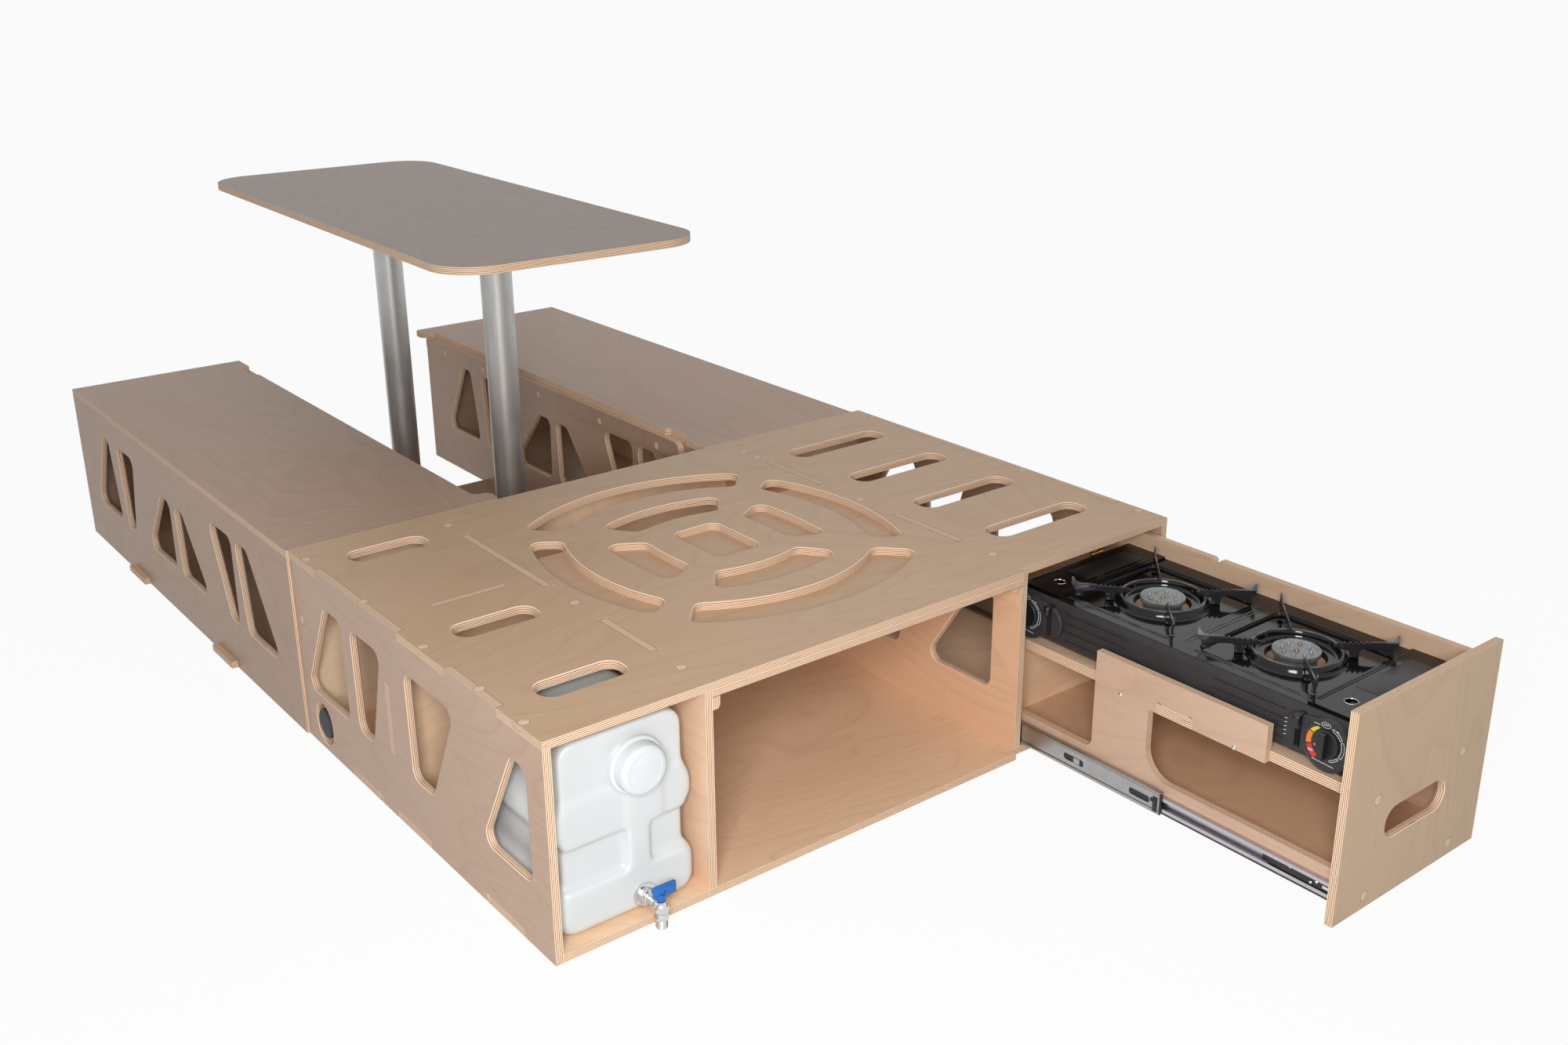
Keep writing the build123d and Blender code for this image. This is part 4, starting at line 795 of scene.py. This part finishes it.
def burner_head(x, y):
    """Cast burner head: fluted flame ring, dished crown and a ring of pins."""
    pins = 8
    flutes = 64
    centre = here(x, y, burner_level)
    profile = ((30.0, 0), (30.0, 17.0), (33.6, 19.4), (34.8, 20.8), (34.8, 25.6), (34.0, 26.8),
               (31.0, 27.0), (29.6, 26.2), (28.6, 25.0), (27.0, 24.6), (9.0, 23.8), (0, 23.8))
    head = turned(profile, centre, up, flutes * 2)
    ribbed(head, centre, up, 33.0, flutes, -1.5, 19.0, 26.2)
    shapes = [head]
    pin = ((2.8, 24.0), (2.6, 26.0), (1.5, 28.6), (0.6, 29.2), (0, 29.3))
    for index in range(pins):
        turn = tau * (index + 0.5) / pins
        at = centre + Vector((cos(turn), sin(turn), 0)) * 20.5 * mm
        shapes.append(turned(pin, at, up, 12))
    return joined(shapes)


def burner_screw(x, y):
    """Heat-tinted screw in the middle of a burner head, on a washer."""
    centre = here(x, y, burner_level)
    profile = ((3.2, 23.8), (3.1, 25.6), (2.4, 26.6), (1.0, 26.7), (1.0, 25.9), (0, 25.9))
    washer = turned(((4.8, 23.6), (4.6, 24.2), (3.0, 24.3)), centre, up, 24)
    return joined([turned(profile, centre, up, 24), washer])


def on_control(shape, y):
    """Moves a flat mark, drawn about zero, onto a control face seen from the left."""
    turn = Matrix(((0, 0, -1), (-1, 0, 0), (0, 1, 0))).to_4x4()
    at = Matrix.Translation(here(881.75, y, knob_level))
    bmesh.ops.transform(shape, matrix=at @ turn, verts=shape.verts)
    return shape


def arc(inner, outer, start, end, last_outer=None):
    """A thin flat arc between two radii and two angles in degrees, which may widen."""
    shape = bmesh.new()
    ray = Vector((cos(radians(start)), sin(radians(start)), 0)) * mm
    points = [shape.verts.new(ray * inner), shape.verts.new(ray * outer)]
    line = shape.edges.new(points)
    steps = max(2, int(abs(end - start) / 6))
    bmesh.ops.spin(shape, geom=points + [line], cent=(0, 0, 0), axis=(0, 0, 1),
                   angle=radians(end - start), steps=steps)
    if last_outer:
        for point in shape.verts:
            if point.co.length > (inner + outer) / 2 * mm:
                turn = (degrees(atan2(point.co.y, point.co.x)) - start + 1) % 360 - 1
                point.co *= 1 + turn / (end - start) * (last_outer / outer - 1)
    top = bmesh.ops.extrude_face_region(shape, geom=shape.faces[:])["geom"]
    raised = [item for item in top if isinstance(item, bmesh.types.BMVert)]
    bmesh.ops.translate(shape, vec=(0, 0, mark_height * mm), verts=raised)
    bmesh.ops.recalc_face_normals(shape, faces=shape.faces)
    return shape


def stroke(start, end, width=0.8):
    """A thin flat line between two points on a control face."""
    start, end = Vector((*start, 0)) * mm, Vector((*end, 0)) * mm
    run = end - start
    shape = bar(Vector((0, -width / 2, 0)) * mm,
                Vector((run.length / mm, width / 2, mark_height)) * mm)
    turn = Vector((1, 0, 0)).rotation_difference(run).to_matrix().to_4x4()
    bmesh.ops.transform(shape, matrix=Matrix.Translation(start) @ turn, verts=shape.verts)
    return shape


def word(letters, at, size, height=mark_height):
    """A short word as flat raised letters, centred on a point of a control face."""
    curve = bpy.data.curves.new("letters", "FONT")
    curve.body = letters
    curve.size = size
    curve.align_x = "CENTER"
    curve.align_y = "CENTER"
    curve.extrude = height / 2
    curve.resolution_u = 3
    shape = as_shape(curve)
    bmesh.ops.translate(shape, vec=Vector((*at, height / 2)) * mm, verts=shape.verts)
    return shape


def control_dial(y, where):
    """Dial marks round a gas knob, and ticks beside the ignition lever."""
    heat = (("yellow", shade(226, 196, 44), 124, 155, 24.6, 28.4),
            ("orange", shade(226, 128, 40), 159, 197, 28.6, 31.4),
            ("red", shade(206, 44, 40), 201, 240, 31.6, 32.6))
    for tone_name, tone, start, end, first, last in heat:
        mark = on_control(arc(21.6, first, start, end, last), y)
        place(mark, f"{where}_dial_{tone_name}", "drawer",
              moulded(f"{where}_{tone_name}_ink", tone, 0.42, 900.0, 0.00003, 0.08), flat=True)
    oval = arc(6.3, 7.0, 0, 360)
    bmesh.ops.remove_doubles(oval, verts=oval.verts, dist=1e-6)
    bmesh.ops.scale(oval, vec=(1, 0.6, 1), verts=oval.verts)
    bmesh.ops.translate(oval, vec=Vector((-3.2, 26.2, 0)) * mm, verts=oval.verts)
    lines = [oval, word("OFF", (-3.2, 26.2), 4.4), word("ON", (-22.6, -17.6), 5.0, 0.6),
             stroke((-23.4, 24.0), (-12.4, 23.6)), stroke((5.6, 24.2), (16.6, 22.8)),
             stroke((-19.0, -28.4), (14.0, -30.2))]
    for start, end, outer in ((72, 30, 26.4), (25, -31, 27.0), (-37, -74, 25.6)):
        lines.extend((arc(22.2, 22.9, start, end), arc(outer - 0.7, outer, start, end)))
        lines.extend((arc(22.2, outer, start, start - 2), arc(22.2, outer, end + 2, end)))
    for index in range(5):
        level = 12 - index * 6
        lines.append(stroke((-65.5, level), (-61.5, level + 1.2), 0.7))
    marks = joined([on_control(shape, y) for shape in lines])
    place(marks, f"{where}_dial_lines", "drawer", white, flat=True)


def control_pod(y, where):
    """Round pod with a rolled edge behind a gas knob, cut off at the stove's end."""
    profile = ((0, -0.1), (34.4, -0.1), (35.0, 0.4), (35.6, 0.8), (36.4, 0.6), (37.0, -0.2),
               (37.4, -2.0), (37.6, -8.8), (0, -8.8))
    pod = turned(profile, here(881.8, y, 230.0), (-1, 0, 0), 96)
    stove_end, outwards = (-539.0, -1) if where == "front" else (59.0, 1)
    bmesh.ops.bisect_plane(pod, geom=pod.verts[:] + pod.edges[:] + pod.faces[:], dist=1e-6,
                           plane_co=here(0, stove_end, 0), plane_no=(0, outwards, 0),
                           clear_outer=True)
    place(pod, f"{where}_control_pod", "drawer", paint)


def gas_knob(y, where):
    """Gas knob: fluted skirt, waisted grip and a small round mark."""
    centre = here(881.5, y, knob_level)
    facing = (-1, 0, 0)
    half = 19.4
    profile = ((0, 4.2), (13.0, 4.2), (16.0, 4.9), (19.4, 5.0), (20.7, 4.1), (21.0, 2.6),
               (21.0, 0.2))
    skirt = turned(profile, centre, facing, 120)
    ribbed(skirt, centre, facing, 20.2, 40, -0.7, 0.0, 4.6)
    grip = bar(here(866.6, y - 4.6, knob_level - half),
               here(878.5, y + 4.6, knob_level + half), 2.4, 4)
    for point in grip.verts:
        reach = abs(point.co.z - centre.z) / (half * mm)
        pinch = 0.72 + 0.34 * reach * reach
        point.co.y = centre.y + (point.co.y - centre.y) * pinch
    place(joined([skirt, grip]), f"{where}_gas_knob", f"{where}_knob", black,
          [f"stove_knob_{where}"])
    profile = ((0, 0.35), (1.3, 0.35), (1.9, 0.1), (1.9, -0.3))
    mark = turned(profile, here(876.6, y + 14.2, 229.5), facing, 20)
    place(mark, f"{where}_knob_mark", f"{where}_knob",
          moulded(f"{where}_knob_mark_ink", shade(214, 88, 84), 0.4, 900.0, 0.00003, 0.08))


def lever_head(y, where):
    """Glossy rounded thumb pad of an ignition lever, in front of its slot."""
    pad = bar(here(870.6, y - 6.2, 246.6), here(880.8, y + 6.2, 262.0), 4.6, 6)
    neck = bar(here(876.6, y - 2.4, 240.0), here(881.6, y + 2.4, 250.0), 1.0, 2)
    place(joined([pad, neck]), f"{where}_lever_pad", f"{where}_lever",
          gloss_black)


def lid_fittings(y, where):
    """Bright collar in a cartridge lid's hole, a bare plate and three pressed ribs."""
    body = f"{where}_cartridge_lid"
    middle = y + 40
    collar = turned(((8.9, -2.6), (8.8, 0.2), (9.0, 0.5), (9.5, 0.5), (9.8, 0.05)),
                    here(942.8, middle, 273.3), up, 40)
    place(collar, f"{where}_lid_collar", body, chrome)
    patch = bar(here(985, middle - 21, 273.2), here(1120, middle + 21, 273.75), 0.25)
    place(patch, f"{where}_lid_plate", body, black)
    ribs = [bar(here(915, line - 1.2, 273.1), here(1138, line + 1.2, 274.1), 0.7, 3)
            for line in (middle - 30, middle + 34.5, middle + 30)]
    place(joined(ribs), f"{where}_lid_ribs", body, paint)


def deck_emboss():
    """Raised double lines pressed into the deck between and beside the pans."""
    shapes = []
    for y in (-472.0, -465.5, -243.2, -236.8, -14.5, -8.0):
        shapes.append(bar(here(930, y + 0.2, 269.6), here(1114, y + 2.4, 270.9), 0.9, 3))
    for x in (912.5, 917.0):
        for y0, y1 in ((-455, -265), (-215, -25)):
            shapes.append(bar(here(x - 1.0, y0, 269.6), here(x + 1.0, y1, 270.8), 0.8, 3))
    place(joined(shapes), "deck_emboss", "drawer", enamel)


burners = ((1021.8, -360), (1021.8, -120))
place(joined([drip_pan(*at) for at in burners]), "enamel_pans", "drawer",
      pan_enamel, ["drip_pans"])
place(joined([burner_head(*at) for at in burners]), "fluted_burners", "drawer", cast,
      ["burner_heads"])
tinted = polished("heat_tinted_steel", shade(150, 118, 96), 0.34)
place(joined([burner_screw(*at) for at in burners]), "burner_screws", "drawer", tinted)
trays = [turned(((42.4, 4.0), (40.0, 2.0), (30.2, 1.2)), here(*at, 252), up, 64)
         for at in burners]
place(joined(trays), "burner_trays", "drawer", tinted)
pan_support(*burners[0], "front")
pan_support(*burners[1], "rear")
for where, knob_y, lever_y, bay_y in (("front", -508, -464, -540), ("rear", 28, -16, -20)):
    control_dial(knob_y, where)
    control_pod(knob_y, where)
    gas_knob(knob_y, where)
    lever_head(lever_y, where)
    lid_fittings(bay_y, where)
deck_emboss()


# Drawer and slides

def pan_head_screw(at, facing, radius=3.4):
    """A bright domed screw head with a small round recess."""
    profile = ((0, 1.2), (radius * 0.16, 1.2), (radius * 0.2, 1.7), (radius * 0.6, 1.5),
               (radius * 0.9, 0.9), (radius, 0.1), (radius, -0.4))
    return turned(profile, at, facing, 20)


side_screws = [pan_head_screw(here(drawer_faces["left"], y, z), (-1, 0, 0))
               for y, z in ((-171, 174), (-374, 173))]
place(joined(side_screws), "drawer_side_screws", "drawer", chrome)


def across(where, depth):
    """A depth out from the drawer's left or right side, as a place along X."""
    return drawer_faces[where] + (-depth if where == "left" else depth)


def fitting(where, depths, y, z, ease=0.4):
    """A bar beside a drawer side, between two depths."""
    x0, x1 = sorted(across(where, depth) for depth in depths)
    return bar(here(x0, y[0], z[0]), here(x1, y[1], z[1]), ease)


def middle_member(where):
    """Middle member: a web with two windows, two rolled lips, a spring tab, a stop and two painted
    shade lines.
    """
    body = f"middle_slide_{where}"
    span = (-266.0, 334.0)
    edge = [(span[0], 22.8), (span[1], 22.8), (span[1], 51.0), (span[0], 51.0)]
    windows = [rounded(-247.0, -208.5, 29.2, 39.8, 4.4), rounded(-118.5, -79.0, 31.0, 41.6, 3.6)]
    web = plate([edge, *windows], 1.4)
    upright = Matrix(((0, 0, 1), (1, 0, 0), (0, 1, 0))).to_4x4()
    at = Matrix.Translation(here(across(where, 9.9), 0, 0)) @ upright
    bmesh.ops.transform(web, matrix=at, verts=web.verts)
    parts = [web, fitting(where, (2.2, 11.0), span, (50.6, 54.0), 1.1),
             fitting(where, (2.2, 11.0), span, (17.0, 23.0), 1.7),
             fitting(where, (9.5, 10.4), (-110.5, -98.0), (31.2, 40.6), 0.3)]
    place(joined(parts), f"{where}_slide_middle", body, zinc, [f"slide_middle_{where}"])
    dark = [fitting(where, (8.95, 9.2), (-249.0, -206.0), (28.0, 41.0), 0.0),
            fitting(where, (8.95, 9.2), (-121.0, -77.0), (29.5, 43.0), 0.0),
            # Painted shade: the next two thin black bars run along the web under the lips, where
            # the lips shade it.
            fitting(where, (10.0, 10.72), span, (23.1, 24.2), 0.0),
            fitting(where, (10.0, 10.68), span, (50.0, 50.7), 0.0),
            fitting(where, (10.4, 11.3), (-261.5, -253.0), (20.0, 44.5), 0.3),
            fitting(where, (10.4, 11.3), (-254.5, -248.5), (34.5, 40.5), 0.3),
            fitting(where, (9.2, 11.2), (-268.5, -265.0), (18.5, 52.5), 0.5),
            fitting(where, (3.0, 9.2), (288.0, 333.0), (19.8, 21.6)),
            fitting(where, (3.0, 9.2), (288.0, 333.0), (49.4, 51.2))]
    place(joined(dark), f"{where}_slide_stops_and_shade_lines", body, black)


def inner_member(where):
    """Lip in painted shade, latch and rivets of the slide's inner member, which is screwed to the
    drawer.
    """
    # The lower lip is black as painted shade: the steel lip lies in shade under the member.
    lip = [fitting(where, (0.0, 1.8), (-552.0, 48.0), (15.6, 24.4), 0.5)]
    place(joined(lip), f"{where}_inner_lip_painted_shade", "drawer", black)
    latch = [fitting(where, (1.2, 6.4), (-551, -452), (26.6, 44.6), 0.8),
             fitting(where, (6.0, 7.4), (-520, -470), (31.0, 40.5), 0.5),
             fitting(where, (1.2, 5.0), (-452, -440), (29.0, 42.0), 1.6)]
    place(joined(latch), f"{where}_slide_latch", "drawer", black)
    facing = (-1 if where == "left" else 1, 0, 0)
    rivets = [pan_head_screw(here(across(where, 6.3), y, z), facing, 2.6)
              for y, z in ((-528, 38.5), (-519, 33.5), (-486, 41.0))]
    rivets.append(fitting(where, (6.2, 6.9), (-548, -537), (33.5, 38.0), 0.3))
    place(joined(rivets), f"{where}_latch_rivets", "drawer", chrome)


for where in ("left", "right"):
    middle_member(where)
    inner_member(where)

rod_profile = ((0, 1.4), (2.6, 1.2), (3.3, 0.2), (3.3, -3.2), (2.2, -4.2), (2.2, -26.0),
               (0, -26.0))
rod = turned(rod_profile, here(1036, 38.0, 289.8), (-1, 0, 0), 24)
place(rod, "bolt_rod", "bolt", brass)
guide_profile = ((2.5, -3.4), (3.4, -3.4), (3.7, -2.6), (3.7, 2.6), (3.4, 3.4), (2.5, 3.4),
                 (2.5, -3.4))
guide = turned(guide_profile, here(1058, 38.0, 289.8), (-1, 0, 0), 24)
place(guide, "bolt_guide", "drawer", brass)


# Fine dark joint lines where tenons and fingers meet the top

def seam(x0, x1, y0, y1):
    """A joint line between two corners, a hair above the top."""
    return bar(here(x0, y0, box_top - 0.3), here(x1, y1, box_top + 0.06))


def seams():
    """Joint lines round every tenon, and along the finger joints."""
    shapes = []
    thin = 0.8
    tenon_rows = ((243, ((127.0, 258.8), (411.3, 677.3))),
                  (848, ((155.6, 309.7), (501.8, 655.8))))
    for x, spans in tenon_rows:
        for y0, y1 in spans:
            for edge in (x - 0.4, x + 11.6):
                shapes.append(seam(edge, edge + thin, y0, y1))
            for end in (y0 - 0.4, y1 - 0.4):
                shapes.append(seam(x, x + 12, end, end + thin))
    for edge in (449.6, 461.6):
        shapes.append(seam(81.3, 201.4, edge, edge + thin))
    for x, low in ((11.6, 0), (1177.6, 1178)):
        for y0, y1 in ((115.1, 260.4), (403.4, 690.8)):
            shapes.append(seam(x, x + thin, y0, y1))
            for end in (y0 - 0.4, y1 - 0.4):
                shapes.append(seam(low, low + 12, end, end + thin))
    place(joined(shapes), "top_joint_lines", "frame", seam_wood)


seams()


# Floor, light and camera

def stage():
    """A pale floor that looks white, and keeps the object's soft shadow."""
    shape = bmesh.new()
    bmesh.ops.create_grid(shape, x_segments=1, y_segments=1, size=30.0)
    bmesh.ops.translate(shape, vec=(0, 0, -0.0008), verts=shape.verts)
    mesh = bpy.data.meshes.new("floor")
    shape.to_mesh(mesh)
    shape.free()
    finish = Finish("floor_paper")
    finish.surface(Base_Color=(0.80, 0.80, 0.80), Roughness=0.95, Specular_IOR_Level=0.0)
    glow = finish.node("ShaderNodeEmission", {}, {"Color": (1, 1, 1), "Strength": 1.0})
    paper = Wire(finish, finish.shader.outputs[0])
    share = finish.seen() * 0.94
    blend = finish.node("ShaderNodeMixShader", {}, {0: share, 1: paper, 2: glow})
    finish.join(finish.tree.nodes["Material Output"].inputs["Surface"], blend)
    mesh.materials.append(finish.material)
    floor = bpy.data.objects.new("floor", mesh)
    bpy.context.scene.collection.objects.link(floor)


def sky(level):
    """Even pale light all round, seen as white."""
    world = bpy.data.worlds.new("studio")
    world.use_nodes = True
    bpy.context.scene.world = world
    air = Wiring(world.node_tree)
    back = air.tree.nodes["Background"]
    air.join(back.inputs["Color"], (1, 1, 1))
    air.join(back.inputs["Strength"], air.seen() * (1 - level) + level)


def lamp(name, at, target, width, power):
    """A soft square lamp that faces a point."""
    data = bpy.data.lights.new(name, "AREA")
    data.shape = "SQUARE"
    data.size = width
    data.energy = power
    light = bpy.data.objects.new(name, data)
    light.location = at
    light.rotation_euler = (Vector(target) - Vector(at)).to_track_quat("-Z", "Y").to_euler()
    bpy.context.scene.collection.objects.link(light)


def camera(focal, at, heading, tilt, roll, rise):
    """A camera with its focal length and rise in pixels of a picture 2000 wide."""
    sensor = 36.0
    picture = 2000
    data = bpy.data.cameras.new("camera")
    data.sensor_width = sensor
    data.lens = focal * sensor / picture
    data.shift_y = rise / picture
    data.clip_end = 100.0
    heading, tilt, roll = radians(heading), radians(tilt), radians(roll)
    ahead = Vector((sin(heading) * cos(tilt), cos(heading) * cos(tilt), -sin(tilt)))
    level = ahead.cross(Vector(up)).normalized()
    over = level.cross(ahead)
    aside = level * cos(roll) + over * sin(roll)
    above = over * cos(roll) - level * sin(roll)
    view = bpy.data.objects.new("camera", data)
    turn = Matrix((aside, above, -ahead)).transposed().to_4x4()
    view.matrix_world = Matrix.Translation(at) @ turn
    bpy.context.scene.collection.objects.link(view)
    bpy.context.scene.camera = view


stage()
sky(0.31)
lamp("near_lamp", here(-900, -1480, 1260), here(500, 300, 150), width=0.7, power=41.5)
lamp("ceiling_lamp", here(600, 300, 3200), here(600, 500, 0), width=3.0, power=8.0)
camera(focal=2018.07, at=here(-813.28, -1518.42, 1263.46), heading=38.073, tilt=20.0,
       roll=-0.414, rise=-40.0)
bpy.context.scene.view_settings.view_transform = "Standard"
